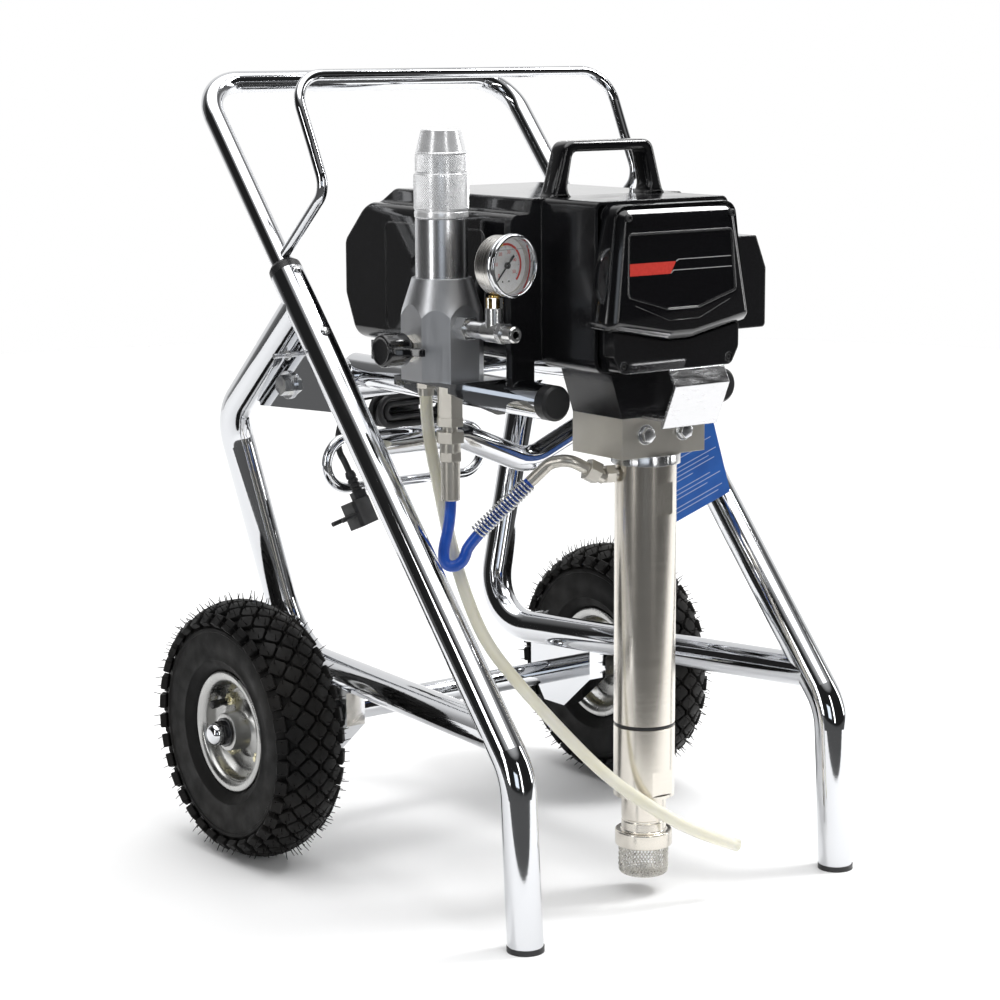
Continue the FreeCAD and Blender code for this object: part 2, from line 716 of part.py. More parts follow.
def gusset():
    """Plate between leg and rear tube, with the pivot's socket and the lock pin's hole."""
    low_front = leg_point((GUSSET_LOW_Z - KNEE_Z) / SLANT_Z)
    top = leg_point(REAR_JOINT_RUN)
    corners = [(low_front.y, low_front.z), *GUSSET_EDGE, (top.y, top.z)]
    inner = GUSSET_X - GUSSET_PLATE / 2
    outer = GUSSET_X + GUSSET_PLATE / 2
    plate = slab_x(corners, (inner, outer))
    socket = rod((inner - PIVOT_SOCKET, PIVOT_Y, PIVOT_Z), (outer, PIVOT_Y, PIVOT_Z), PIVOT_BOLT_D)
    boss = rod((inner, LOCK_Y, LOCK_Z), (outer + LOCK_BOSS, LOCK_Y, LOCK_Z), LOCK_D)
    plate = joined(plate, socket, boss)
    plate = plate.cut([rod((inner - 9, PIVOT_Y, PIVOT_Z), (outer + 9, PIVOT_Y, PIVOT_Z), PIVOT_BOLT_D / 2),
                       rod((inner - 9, LOCK_Y, LOCK_Z), (outer + 9, LOCK_Y, LOCK_Z), LOCK_D / 2 + RUN_GAP)])
    return plate.cut([leg_axis(TUBE_R), rear_axis(TUBE_R)])


def axle_bracket():
    """Folded channel under the side rail that carries the axle."""
    shell = slab_x(BRACKET_CORNERS, (BRACKET_X, BRACKET_X + BRACKET_W))
    shell = shell.cut(slab_x(BRACKET_HOLLOW, (BRACKET_X + PLATE, BRACKET_X + BRACKET_W + 1)))
    hub = rod((BRACKET_X, AXLE_Y, WHEEL_Z), (BRACKET_X + BRACKET_W, AXLE_Y, WHEEL_Z), AXLE_D / 2 + PLATE)
    bore = rod((BRACKET_X - 1, AXLE_Y, WHEEL_Z), (BRACKET_X + BRACKET_W + 1, AXLE_Y, WHEEL_Z), AXLE_D / 2)
    return joined(shell, hub).cut([bore, rear_axis(TUBE_R)])


def axle_spacer():
    """Chromed tube round the axle between the two brackets."""
    return pipe((-BRACKET_X, AXLE_Y, WHEEL_Z), (BRACKET_X, AXLE_Y, WHEEL_Z), AXLE_TUBE_D / 2, AXLE_D / 2)


def axle():
    return rod((-AXLE_END, AXLE_Y, WHEEL_Z), (AXLE_END, AXLE_Y, WHEEL_Z), AXLE_D / 2)


def axle_nut():
    """Washer and chromed dome nut outside the hub."""
    face = WHEEL_X + HUB_LENGTH / 2 + FREE_GAP
    seat = face + AXLE_WASHER_H
    low = seat + AXLE_NUT_H
    washer = pipe((face, AXLE_Y, WHEEL_Z), (seat, AXLE_Y, WHEEL_Z), AXLE_D, AXLE_D / 2)
    nut = hexagon((seat, AXLE_Y, WHEEL_Z), ACROSS, NUT_FLATS, AXLE_NUT_H)
    nut = nut.cut(rod((face, AXLE_Y, WHEEL_Z), (low + 1, AXLE_Y, WHEEL_Z), AXLE_D / 2))
    dome = turned(DOME_PROFILE, (low, AXLE_Y, WHEEL_Z), ACROSS)
    dome = dome.cut(rod((low - 1, AXLE_Y, WHEEL_Z), (AXLE_END, AXLE_Y, WHEEL_Z), AXLE_D / 2))
    return washer, joined(nut, dome)


def inner_washer():
    """Spacer between the bracket and the hub."""
    start = BRACKET_X + BRACKET_W
    end = WHEEL_X - HUB_LENGTH / 2 - FREE_GAP
    return pipe((start, AXLE_Y, WHEEL_Z), (end, AXLE_Y, WHEEL_Z), AXLE_D / 2 + PLATE, AXLE_D / 2)


def foot_plug():
    """Plastic plug with a rim under the tube's end."""
    rim = rod((LEG_X, 0, 0), (LEG_X, 0, PLUG_RIM), TUBE_R + PLUG_LIP)
    spigot = rod((LEG_X, 0, 0), V(LEG_X, 0, 0) + V(0, KNEE_Y, KNEE_Z).normalize() * PLUG_DEPTH, LEG_BORE)
    return joined(rim, spigot.cut(below(PLUG_RIM - 1)))


def leg_collar():
    """Plastic bush in the leg's open end, with a tapered rim above it."""
    bore = HANDLE_R + RUN_GAP
    profile = [(bore, -COLLAR_DEPTH), (LEG_BORE, -COLLAR_DEPTH), (LEG_BORE, 0), (TUBE_R, 0),
               (TUBE_R - 0.6, COLLAR_TOP - 3), (TUBE_R - 3.0, COLLAR_TOP), (bore, COLLAR_TOP)]
    collar = turned(profile, leg_point(LEG_RUN), LEG_UP)
    return collar.cut(rivet_shank(RIVET_R / 2))


def leg_rivet():
    """Dome rivet that holds the collar."""
    head = turned([(0, 0), (RIVET_R, 0), (RIVET_R * 0.8, RIVET_HEAD * 0.57), (RIVET_R * 0.4, RIVET_HEAD * 0.9),
                   (0, RIVET_HEAD)], leg_point(LEG_RUN - RIVET_BACK, TUBE_R), LEG_FACE)
    return joined(head.cut(leg_axis(TUBE_R)), rivet_shank(RIVET_R / 2))


def pivot_bolt():
    """Bolt through the gusset into the cradle's sleeve, with its washer."""
    outer = GUSSET_X + GUSSET_PLATE / 2
    seat = (outer + PIVOT_WASHER[1], PIVOT_Y, PIVOT_Z)
    washer = pipe((outer, PIVOT_Y, PIVOT_Z), seat, PIVOT_WASHER[0], PIVOT_BOLT_D / 2)
    shank = rod((SLEEVE_HALF - PIVOT_GRIP, PIVOT_Y, PIVOT_Z), seat, PIVOT_BOLT_D / 2)
    head = hexagon(seat, ACROSS, *PIVOT_HEAD)
    return washer, joined(shank, head)


# Wheels

def tyre():
    """Hollow pneumatic tyre: tread, side walls and two beads on the rim's seats."""
    r_out = TYRE_D / 2
    half = TYRE_W / 2
    seat = RIM_SEAT_D / 2
    flange = RIM_FLANGE_D / 2 + 1
    outer = [(seat, -RIM_W / 2 + RIM_PLATE), (flange, -RIM_W / 2 + RIM_PLATE), (flange + 14, -half + 1.5),
             (r_out - 42, -half), (r_out - 20, -half + 2), (r_out - 6, -half + 11), (r_out, -half + 22)]
    inner = [(r_out - TYRE_WALL - 2, -half + 24), (r_out - 22, -half + TYRE_WALL + 3),
             (r_out - 42, -half + TYRE_WALL), (flange + 12, -half + TYRE_WALL + 2), (seat, -RIM_W / 2 + 11)]
    half_ring = outer + [(r_out, 0), (r_out - TYRE_WALL - 2, 0)] + inner
    right = turned(half_ring, (WHEEL_X, AXLE_Y, WHEEL_Z), ACROSS)
    left = turned([(r, -h) for r, h in half_ring], (WHEEL_X, AXLE_Y, WHEEL_Z), ACROSS)
    return joined(right, left)


def rim():
    """Pressed steel rim in two dished halves round a hub tube."""
    seat = RIM_SEAT_D / 2
    flange = RIM_FLANGE_D / 2
    half = RIM_W / 2
    outer = [(seat, -half + RIM_PLATE), (flange, -half + RIM_PLATE), (flange, -half), (seat - RIM_PLATE, -half),
             (seat - RIM_PLATE, -2.0), (HUB_D / 2 + 10, -2.0), (HUB_D / 2, -9.0), (HUB_D / 2, 0), (seat, 0)]
    centre = (WHEEL_X, AXLE_Y, WHEEL_Z)
    left = turned(outer, centre, ACROSS)
    right = turned([(r, -h) for r, h in outer], centre, ACROSS)
    hub = pipe((WHEEL_X - HUB_LENGTH / 2, AXLE_Y, WHEEL_Z), (WHEEL_X + HUB_LENGTH / 2, AXLE_Y, WHEEL_Z),
               HUB_D / 2, AXLE_D / 2 + 5)
    return joined(left, right, hub)


def rim_bolts():
    """Four bolts with nuts that clamp the rim's halves."""
    radius = HUB_D / 2 + RIM_BOLT_OUT
    solids = []
    for k in range(4):
        angle = math.radians(45 + 90 * k)
        y = AXLE_Y + radius * math.cos(angle)
        z = WHEEL_Z + radius * math.sin(angle)
        for side in (1, -1):
            solids.append(hexagon((WHEEL_X + side * 2, y, z), V(side, 0, 0), *RIM_NUT))
    return solids


def bearings():
    """Two bearings in the hub, running on the axle."""
    solids = []
    for end in (-1, 1):
        outer = WHEEL_X + end * HUB_LENGTH / 2
        inner = outer - end * BEARING_W
        solids.append(pipe((inner, AXLE_Y, WHEEL_Z), (outer, AXLE_Y, WHEEL_Z), AXLE_D / 2 + 5,
                           AXLE_D / 2 + RUN_GAP))
    return solids


def valve_stem():
    """Tyre valve through the rim's seat, pointing outwards."""
    radius = RIM_SEAT_D / 2 - VALVE_IN
    angle = math.radians(150)
    y = AXLE_Y + radius * math.cos(angle)
    z = WHEEL_Z + radius * math.sin(angle)
    stem = rod((WHEEL_X + 2, y, z), (WHEEL_X + VALVE_STEM[1], y, z), VALVE_STEM[0])
    cap = rod((WHEEL_X + VALVE_STEM[1], y, z), (WHEEL_X + VALVE_CAP[1], y, z), VALVE_CAP[0])
    return joined(stem, cap)


# Handle

def handle_path(radius):
    top = leg_point(HANDLE_TOP_RUN)
    low = leg_point(HANDLE_LOW_RUN)
    points = [tuple(low), tuple(top), (-top.x, top.y, top.z), (-low.x, low.y, low.z)]
    return sweep(bent_path(points, HANDLE_BEND_R), radius)


def handle_tube():
    holes = pair(snap_hole(SNAP_R + RUN_GAP))
    return handle_path(HANDLE_R).cut([handle_path(HANDLE_R - HANDLE_WALL)] + holes)


def handle_brace():
    """Thin tube welded to the handle: out to the front, up, and across under the grip."""
    start = leg_point(LEG_RUN + COLLAR_TOP + BRACE_GAP + BRACE_D / 2, HANDLE_R)
    right = [tuple(start)] + [(LEG_X, y, z) for y, z in (BRACE_CORNERS[0], BRACE_CORNERS[1])] + [BRACE_TOP]
    left = [(-x, y, z) for x, y, z in reversed(right)]
    bends = [BRACE_SIDE_R, BRACE_SIDE_R, BRACE_BEND_R, BRACE_BEND_R, BRACE_SIDE_R, BRACE_SIDE_R]
    return bent_tube(right + left, bends, BRACE_D / 2, BRACE_D / 2 - BRACE_WALL).cut(handle_path(HANDLE_R))


def snap_button():
    """Button on a leaf inside the handle tube, standing out through both tubes."""
    width, length, thickness = SNAP_LEAF
    shoulder = leg_point(SNAP_RUN, TUBE_R + SNAP_PROUD - SNAP_DOME)
    pin = rod(leg_point(SNAP_RUN, -SNAP_LEAF_LOW - thickness / 2), shoulder, SNAP_R)
    dome = turned([(0, 0), (SNAP_R, 0), (SNAP_R * 0.7, SNAP_DOME * 0.73), (0, SNAP_DOME)], shoulder, LEG_FACE)
    leaf = block((-width / 2, width / 2), (-length / 2, length / 2), (-thickness, 0))
    turn = FreeCAD.Placement(leg_point(SNAP_RUN, -SNAP_LEAF_LOW), FreeCAD.Rotation(BACK, LEG_UP))
    return joined(pin, dome, leaf.transformed(turn.toMatrix()))


# Cradle

def rail_axis(radius):
    return rod((RAIL_X, RAIL_FRONT, RAIL_Z), (RAIL_X, PIVOT_Y, RAIL_Z), radius)


def sleeve():
    """Cross tube that turns on the pivot bolts, with an end plug at each side."""
    tube = pipe((-SLEEVE_HALF, PIVOT_Y, PIVOT_Z), (SLEEVE_HALF, PIVOT_Y, PIVOT_Z), SLEEVE_R,
                SLEEVE_R - SLEEVE_WALL)
    plug = pipe((SLEEVE_HALF - 20, PIVOT_Y, PIVOT_Z), (SLEEVE_HALF, PIVOT_Y, PIVOT_Z),
                SLEEVE_R - SLEEVE_WALL, PIVOT_BOLT_D / 2 + RUN_GAP)
    return joined(tube, *pair(plug))


def rail():
    tube = rail_axis(RAIL_R).cut(rail_axis(RAIL_R - RAIL_WALL))
    return tube.cut(rod((0, PIVOT_Y, PIVOT_Z), (SLEEVE_HALF, PIVOT_Y, PIVOT_Z), SLEEVE_R))


def rear_foot():
    """Block welded on a rail, under the motor cover."""
    middle = RAIL_X - REAR_FOOT_IN
    foot = block((middle - FOOT_HALF_X, middle + FOOT_HALF_X), REAR_FOOT_Y, (RAIL_Z + FOOT_LOW, MOTOR_Z[0]))
    return foot.cut(rail_axis(RAIL_R))


def rail_cap():
    """Black plastic cap over the rail's front end."""
    profile = [(0, 0), (RAIL_R - 2.5, 0), (RAIL_R, 2.5), (RAIL_R, RAIL_CAP), (RAIL_R - RAIL_WALL, RAIL_CAP),
               (RAIL_R - RAIL_WALL, RAIL_CAP + 14), (0, RAIL_CAP + 14)]
    return turned(profile, (RAIL_X, RAIL_FRONT - RAIL_CAP, RAIL_Z), BACK)


def lock_pin():
    """Spring pin through the left gusset, with a pull head and ring outside."""
    tip = -(GUSSET_X - GUSSET_PLATE / 2 - LOCK_TIP)
    pin = rod((tip, LOCK_Y, LOCK_Z), (-LOCK_OUT, LOCK_Y, LOCK_Z), LOCK_D / 2)
    near, far = LOCK_FLANGE_X
    flange = rod((-near, LOCK_Y, LOCK_Z), (-far, LOCK_Y, LOCK_Z), LOCK_FLANGE_R)
    return joined(pin, flange)


def bracket():
    """Inverted channel welded to the left rail: a shelf for the manifold with tapered flanges."""
    left, right = SHELF_X
    lap = right + SHELF_LAP
    shelf = block((left, lap), SHELF_Y, (SHELF_TOP - SHELF_PLATE, SHELF_TOP))
    corners = [(left, SHELF_TOP), (lap, SHELF_TOP), (lap, SHELF_TOP - FLANGE_HIGH),
               (right, SHELF_TOP - FLANGE_HIGH), (left, SHELF_TOP - FLANGE_LOW)]
    front = slab_y(corners, (SHELF_Y[0], SHELF_Y[0] + SHELF_PLATE))
    back = slab_y(corners, (SHELF_Y[1] - SHELF_PLATE, SHELF_Y[1]))
    low = SHELF_TOP - SHELF_PLATE - 1
    holes = [rod((HOSE_X, HOSE_Y, low), (HOSE_X, HOSE_Y, SHELF_TOP + 1), ADAPTER_HOLE_R),
             rod((DRAIN_X, DRAIN_Y, low), (DRAIN_X, DRAIN_Y, SHELF_TOP + 1), DRAIN_HOLE_R)]
    shelf = joined(shelf, front, back).cut([mirrored(rail_axis(RAIL_R))] + holes)
    return largest(shelf)


def cord_ring():
    """Closed ring of round bar under the sleeve, welded to a bent tab."""
    half_w = RING_W / 2
    half_h = RING_H / 2
    corners = [(x, RING_Y, z) for x, z in ((-half_w, RING_Z - half_h), (half_w, RING_Z - half_h),
                                           (half_w, RING_Z + half_h), (-half_w, RING_Z + half_h))]
    path = outline(corners, half_h - 0.01)
    ring = sweep(path, RING_D / 2)
    top = RING_Z + half_h
    back = RING_Y + RING_D / 2
    half_plate = TAB_PLATE / 2
    shelf_z = top + RING_D / 2 + HANK_H + TAB_RISE
    plate = block(TAB_X, (back - half_plate, back + half_plate), (top, shelf_z + TAB_PLATE))
    shelf = block(TAB_X, (PIVOT_Y, back + half_plate), (shelf_z, shelf_z + TAB_PLATE))
    sleeve_form = rod((TAB_X[0] - 1, PIVOT_Y, PIVOT_Z), (TAB_X[1] + 1, PIVOT_Y, PIVOT_Z), SLEEVE_R)
    tab = joined(plate, shelf).cut(sleeve_form)
    return joined(ring, tab)


# Pump

def pump_block():
    body = block((-BLOCK_HALF_X, BLOCK_HALF_X), BLOCK_Y, BLOCK_Z)
    bore = rod((0, PUMP_Y, BLOCK_Z[0] - 1), (0, PUMP_Y, BLOCK_Z[1] + 1), ROD_D / 2 + RUN_GAP)
    socket = rod((0, PUMP_Y, BLOCK_Z[0] - 1), (0, PUMP_Y, BLOCK_Z[1] - SOCKET_ROOF), CYLINDER_D / 2 - NECK_STEP)
    bolts = [y_bar((x, BOLT_Z), (BLOCK_Y[0] - 1, BLOCK_Y[0] + BOLT_DEPTH), BOLT_R) for x in (-BOLT_X, BOLT_X)]
    return body.cut([bore, socket] + bolts)


def block_bolt(x):
    """Hex bolt with a washer in the block's front face."""
    face = BLOCK_Y[0]
    seat = face - BOLT_WASHER
    washer = pipe((x, seat, BOLT_Z), (x, face, BOLT_Z), BOLT_WASHER_R, BOLT_R)
    head = hexagon((x, seat, BOLT_Z), V(0, -1, 0), *BOLT_HEAD)
    shank = rod((x, seat, BOLT_Z), (x, face + BOLT_DEPTH, BOLT_Z), BOLT_R)
    return washer, joined(head, shank)


def jam_nut():
    """Round nut between cylinder and pump block, with six slots for a spanner."""
    low = CYLINDER_TOP
    nut = pipe((0, PUMP_Y, low), (0, PUMP_Y, BLOCK_Z[0]), CYLINDER_D / 2 + 3.5, CYLINDER_D / 2 - NECK_STEP)
    slots = []
    for k in range(6):
        angle = math.radians(30 + 60 * k)
        x = (CYLINDER_D / 2 + 4.5) * math.cos(angle)
        y = PUMP_Y + (CYLINDER_D / 2 + 4.5) * math.sin(angle)
        slots.append(rod((x, y, low - 1), (x, y, BLOCK_Z[0] - 3), 3))
    return nut.cut(slots)


def cylinder():
    """Stainless cylinder with its threaded neck, inlet flat and hose port."""
    radius = CYLINDER_D / 2
    body = rod((0, PUMP_Y, CYLINDER_LOW), (0, PUMP_Y, CYLINDER_TOP), radius)
    neck = rod((0, PUMP_Y, CYLINDER_TOP), (0, PUMP_Y, BLOCK_Z[1] - SOCKET_ROOF), radius - NECK_STEP)
    body = joined(body, neck)
    bore = rod((0, PUMP_Y, CYLINDER_LOW - 1), (0, PUMP_Y, BLOCK_Z[1]), CYLINDER_BORE / 2)
    flat = block(INLET_FLAT_X, (PUMP_Y - radius - 2, PUMP_Y - radius + INLET_FLAT_DEPTH), INLET_FLAT_Z)
    centre = V(0, PUMP_Y, INLET_Z)
    thread = rod(centre + PORT_WAY * PORT_SEAT_R, PORT_FACE + PORT_WAY, PORT_R)
    passage = rod(centre, PORT_FACE, PORT_R - 1.5)
    return body.cut([bore, flat, thread, passage])


def packings():
    """Stack of packings round the piston rod in the cylinder's neck."""
    top = BLOCK_Z[1] - SOCKET_ROOF - 6
    lows = [top - PACKING_H - PACKING_PITCH * k for k in range(PACKINGS)]
    return [pipe((0, PUMP_Y, low), (0, PUMP_Y, low + PACKING_H), CYLINDER_BORE / 2, ROD_D / 2 + RUN_GAP)
            for low in lows]


def piston_rod():
    """Fork, rod and piston head in one moving piece."""
    floor = WRIST_Z - 2 * THROW - 11.0
    base_low = floor - FORK_BASE_H
    inner = PUMP_Y + ROD_EYE / 2 + FREE_GAP
    corners = [(-FORK_HALF_X, base_low), (FORK_HALF_X, base_low), (FORK_HALF_X, WRIST_Z + 10),
               (-FORK_HALF_X, WRIST_Z + 10)]
    cheek = slab_y(corners, (inner, inner + CHEEK), [0, 0, 8, 8])
    other = cheek.mirror(V(0, PUMP_Y, 0), BACK)
    base = rod((0, PUMP_Y, base_low), (0, PUMP_Y, floor), NOSE_BORE - 7)
    shaft = rod((0, PUMP_Y, PISTON_LOW), (0, PUMP_Y, base_low), ROD_D / 2)
    head = rod((0, PUMP_Y, PISTON_LOW), (0, PUMP_Y, PISTON_LOW + PISTON_H), CYLINDER_BORE / 2 - RUN_GAP)
    return joined(cheek, other, base, shaft, head)


def foot_valve():
    """Lower barrel and coupling with a ball seat inside."""
    radius = CYLINDER_D / 2
    profile = [(CYLINDER_BORE / 2, CYLINDER_LOW), (radius, CYLINDER_LOW), (radius, COUPLING_TOP + 2),
               (radius - 1.6, COUPLING_TOP + 1), (radius - 1.6, COUPLING_TOP - 1), (radius, COUPLING_TOP - 2),
               (radius, COUPLING_LOW), (BALL_R - 2, COUPLING_LOW), (BALL_R - 2, COUPLING_LOW + BALL_SEAT),
               (BALL_R + 1, COUPLING_LOW + BALL_SEAT + 4), (CYLINDER_BORE / 2, COUPLING_LOW + BALL_SEAT + 4)]
    body = turned(profile, (0, PUMP_Y, 0))
    deep = radius - COUPLING_FLAT_DEPTH
    flats = [block((-radius, radius), (PUMP_Y + s * deep, PUMP_Y + s * (radius + 1)), COUPLING_FLAT_Z)
             for s in (1, -1)]
    return body.cut(flats)


def valve_ball():
    """Steel ball on the foot valve's seat."""
    seat = COUPLING_LOW + BALL_SEAT + math.sqrt(BALL_R ** 2 - (BALL_R - 2) ** 2)
    return Part.makeSphere(BALL_R, V(0, PUMP_Y, seat))


def strainer_cap():
    """Neck and ring under the foot valve that hold the strainer."""
    shelf = COUPLING_LOW - 8
    neck_r, cap_r = NECK_D / 2, CAP_D / 2
    profile = [(BALL_R - 2, COUPLING_LOW), (neck_r, COUPLING_LOW), (neck_r, NECK_LOW), (cap_r, NECK_LOW),
               (cap_r, CAP_LOW), (BALL_R + 4, CAP_LOW), (BALL_R + 4, shelf), (BALL_R - 2, shelf)]
    return turned(profile, (0, PUMP_Y, 0))


def strainer():
    """Cup of wire mesh, as a thin shell."""
    r = STRAINER_D / 2
    low = STRAINER_LOW
    profile = [(0, low), (r - 7, low), (r - 2, low + 3), (r, low + 8), (r, CAP_LOW), (r - MESH, CAP_LOW),
               (r - MESH, low + 8.4), (r - 2.8, low + 4), (r - 7.4, low + MESH), (0, low + MESH)]
    return turned(profile, (0, PUMP_Y, 0))


def pail_hook():
    """Folded steel hook in front of the pump block, for the pail's bail. Its tab is held under the housing."""
    half = HOOK_PLATE / 2
    front, low = HOOK_CORNERS[0]
    middle = BLOCK_Z[1] + half
    places = [(front, middle)] + list(HOOK_CORNERS)
    solids = []
    for (y0, z0), (y1, z1) in zip(places, places[1:]):
        run = math.hypot(y1 - y0, z1 - z0)
        side_y = -(z1 - z0) / run * half
        side_z = (y1 - y0) / run * half
        corners = [(y0 + side_y, z0 + side_z), (y1 + side_y, z1 + side_z),
                   (y1 - side_y, z1 - side_z), (y0 - side_y, z0 - side_z)]
        solids.append(slab_x(corners, (-HOOK_HALF_X, HOOK_HALF_X)))
    for y, z in places[:3]:
        solids.append(rod((-HOOK_HALF_X, y, z), (HOOK_HALF_X, y, z), half))
    top = BLOCK_Z[1]
    tab = block((-HOOK_HALF_X, HOOK_HALF_X), (front, BLOCK_Y[0] + HOOK_TAB), (top, top + HOOK_PLATE))
    return joined(tab, *solids)


# Gears, crank and connecting rod

def involute(angle):
    return math.tan(angle) - angle


def direction(start, end):
    """The angle from +X towards +Z of the way from one (x, z) place to another."""
    return math.atan2(end[1] - start[1], end[0] - start[0])


def gear(teeth, module, centre, y, pointing):
    """A spur gear about a Y axis with stub involute teeth, one of them pointing at an angle."""
    pitch = module * teeth / 2
    pressure = math.radians(PRESSURE_ANGLE)
    base = pitch * math.cos(pressure)
    tip = pitch + 0.8 * module
    root = pitch - 1.05 * module
    start = max(base, root)
    thick = math.pi / (2 * teeth) - BACKLASH / (2 * pitch) + involute(pressure)
    radii = [start + (tip - start) * k / 4 for k in range(5)]
    flank = [(root, thick)] if root < start else []
    flank += [(r, thick - involute(math.acos(min(1.0, base / r)))) for r in radii]
    points = []
    for k in range(teeth):
        middle = pointing + 2 * math.pi * k / teeth
        points += [(r, middle - half) for r, half in flank]
        points += [(r, middle + half) for r, half in reversed(flank)]
    corners = [V(centre[0] + r * math.cos(a), min(y), centre[1] + r * math.sin(a)) for r, a in points]
    return Part.Face(Part.makePolygon(corners + corners[:1])).extrude(V(0, max(y) - min(y), 0))


def y_bar(axis, y, radius):
    return rod((axis[0], min(y), axis[1]), (axis[0], max(y), axis[1]), radius)


def motor_rotor():
    """Shaft with the pinion at its front end and the laminated rotor."""
    shaft = y_bar(MOTOR_AXIS, (BIG_GEAR_Y[0] - FACE_EXTRA - 1, FAN_Y + 10), SHAFT_R)
    wide = (BIG_GEAR_Y[0] - FACE_EXTRA, BIG_GEAR_Y[1] + FACE_EXTRA)
    teeth = gear(MOTOR_TEETH, MOTOR_MODULE, MOTOR_AXIS, wide, direction(MOTOR_AXIS, REDUCTION_AXIS))
    core = y_bar(MOTOR_AXIS, (STATOR_Y[0] + 2, STATOR_Y[1] - 2), ROTOR_R)
    return joined(shaft, teeth, core)


def motor_fan():
    """Cooling fan on the rear of the shaft."""
    low, high = FAN_Y - FAN_HALF, FAN_Y + FAN_HALF
    hub = y_bar(MOTOR_AXIS, (low, high), FAN_HUB_R)
    disc = y_bar(MOTOR_AXIS, (low, low + FAN_BLADE), FAN_R)
    blades = []
    for k in range(8):
        blade = block((FAN_HUB_R - 4, FAN_R - 1), (low + 1, high), (-FAN_BLADE / 2, FAN_BLADE / 2))
        blade.rotate(V(0, 0, 0), BACK, 45 * k)
        blades.append(blade.translated(V(MOTOR_AXIS[0], 0, MOTOR_AXIS[1])))
    return joined(hub, disc, *blades).cut(y_bar(MOTOR_AXIS, (low - 1, high + 1), SHAFT_R))


def motor_stator():
    """Stator core in a can whose rear plate carries the shaft."""
    end = STATOR_Y[1] + 22
    can = y_bar(MOTOR_AXIS, (FLANGE_Y, end), STATOR_R + 3)
    can = can.cut(y_bar(MOTOR_AXIS, (FLANGE_Y - 1, end - 6), STATOR_R))
    can = can.cut(y_bar(MOTOR_AXIS, (FLANGE_Y, end + 1), SHAFT_R + RUN_GAP))
    core = y_bar(MOTOR_AXIS, STATOR_Y, STATOR_R).cut(y_bar(MOTOR_AXIS, STATOR_Y, STATOR_BORE))
    return can, core


def reduction_gear():
    """Intermediate shaft: the big gear from the motor and the small pinion to the crank gear."""
    shaft = y_bar(REDUCTION_AXIS, (WEB_Y[0], SHAFT_END), REDUCTION_SHAFT_R)
    to_motor = direction(REDUCTION_AXIS, MOTOR_AXIS) + math.pi / BIG_TEETH
    big = gear(BIG_TEETH, MOTOR_MODULE, REDUCTION_AXIS, BIG_GEAR_Y, to_motor)
    wide = (CRANK_GEAR_Y[0] - FACE_EXTRA, CRANK_GEAR_Y[1] + FACE_EXTRA)
    small = gear(SMALL_TEETH, CRANK_MODULE, REDUCTION_AXIS, wide, direction(REDUCTION_AXIS, CRANK_AXIS))
    return joined(shaft, big, small)


def crank_gear():
    """Crankshaft with its gear, cheek and pin."""
    to_pinion = direction(CRANK_AXIS, REDUCTION_AXIS) + math.pi / CRANK_TEETH
    cheek_back = WEB_Y[0] - FREE_GAP
    shaft = y_bar(CRANK_AXIS, (cheek_back - CRANK_CHEEK, SHAFT_END), CRANK_SHAFT_R)
    teeth = gear(CRANK_TEETH, CRANK_MODULE, CRANK_AXIS, CRANK_GEAR_Y, to_pinion)
    cheek = y_bar(CRANK_AXIS, (cheek_back - CRANK_CHEEK, cheek_back), THROW + CRANK_PIN_R + 4)
    pin = y_bar((0, CRANK_Z + THROW), (PUMP_Y - ROD_EYE / 2 - 2, cheek_back - 1), CRANK_PIN_R)
    return joined(shaft, teeth, cheek, pin)


def connecting_rod():
    """Two eyes and a shank; the wrist pin is pressed into the lower eye and ends flush with it."""
    top = CRANK_Z + THROW
    y = (PUMP_Y - ROD_EYE / 2, PUMP_Y + ROD_EYE / 2)
    shank = block((-5, 5), (PUMP_Y - 4, PUMP_Y + 4), (WRIST_Z, top))
    body = joined(y_bar((0, top), y, 12), y_bar((0, WRIST_Z), y, 9), shank)
    body = body.cut([y_bar((0, top), y, CRANK_PIN_R + RUN_GAP), y_bar((0, WRIST_Z), y, WRIST_PIN_R)])
    return body, y_bar((0, WRIST_Z), y, WRIST_PIN_R)


# Power head housings

def cover_outline():
    return both_halves(list(COVER_CORNERS))


def grown(corners, amount):
    """A convex outline moved in by an amount, as corners."""
    result = []
    count = len(corners)
    for i in range(count):
        before, here, after = corners[i - 1], corners[i], corners[(i + 1) % count]
        into = V(here[0] - before[0], 0, here[1] - before[1]).normalize()
        out = V(after[0] - here[0], 0, after[1] - here[1]).normalize()
        half = (math.pi - into.getAngle(out)) / 2
        aim = (out - into).normalize() * (amount / math.sin(half))
        result.append((here[0] + aim.x, here[1] + aim.z))
    return result


def screw_places():
    places = ((SCREWS_HIGH, COVER_Y[0] + SCREW_SEAT), (SCREWS_LOW, LOWER_Y))
    return [(s * x, z, y) for (x, z), y in places for s in (1, -1)]


def in_front(depth):
    """Everything in front of the cover's leaning face, or of a place at a depth behind it."""
    near = COVER_Y[0] + depth
    low, high = COVER_LEAN_Z
    corners = [(near - 60, low), (near, low), (near + COVER_LEAN, high), (near + COVER_LEAN, high + 40),
               (near - 60, high + 40)]
    return slab_x(corners, (-GEARCASE_X - 20, GEARCASE_X + 20))


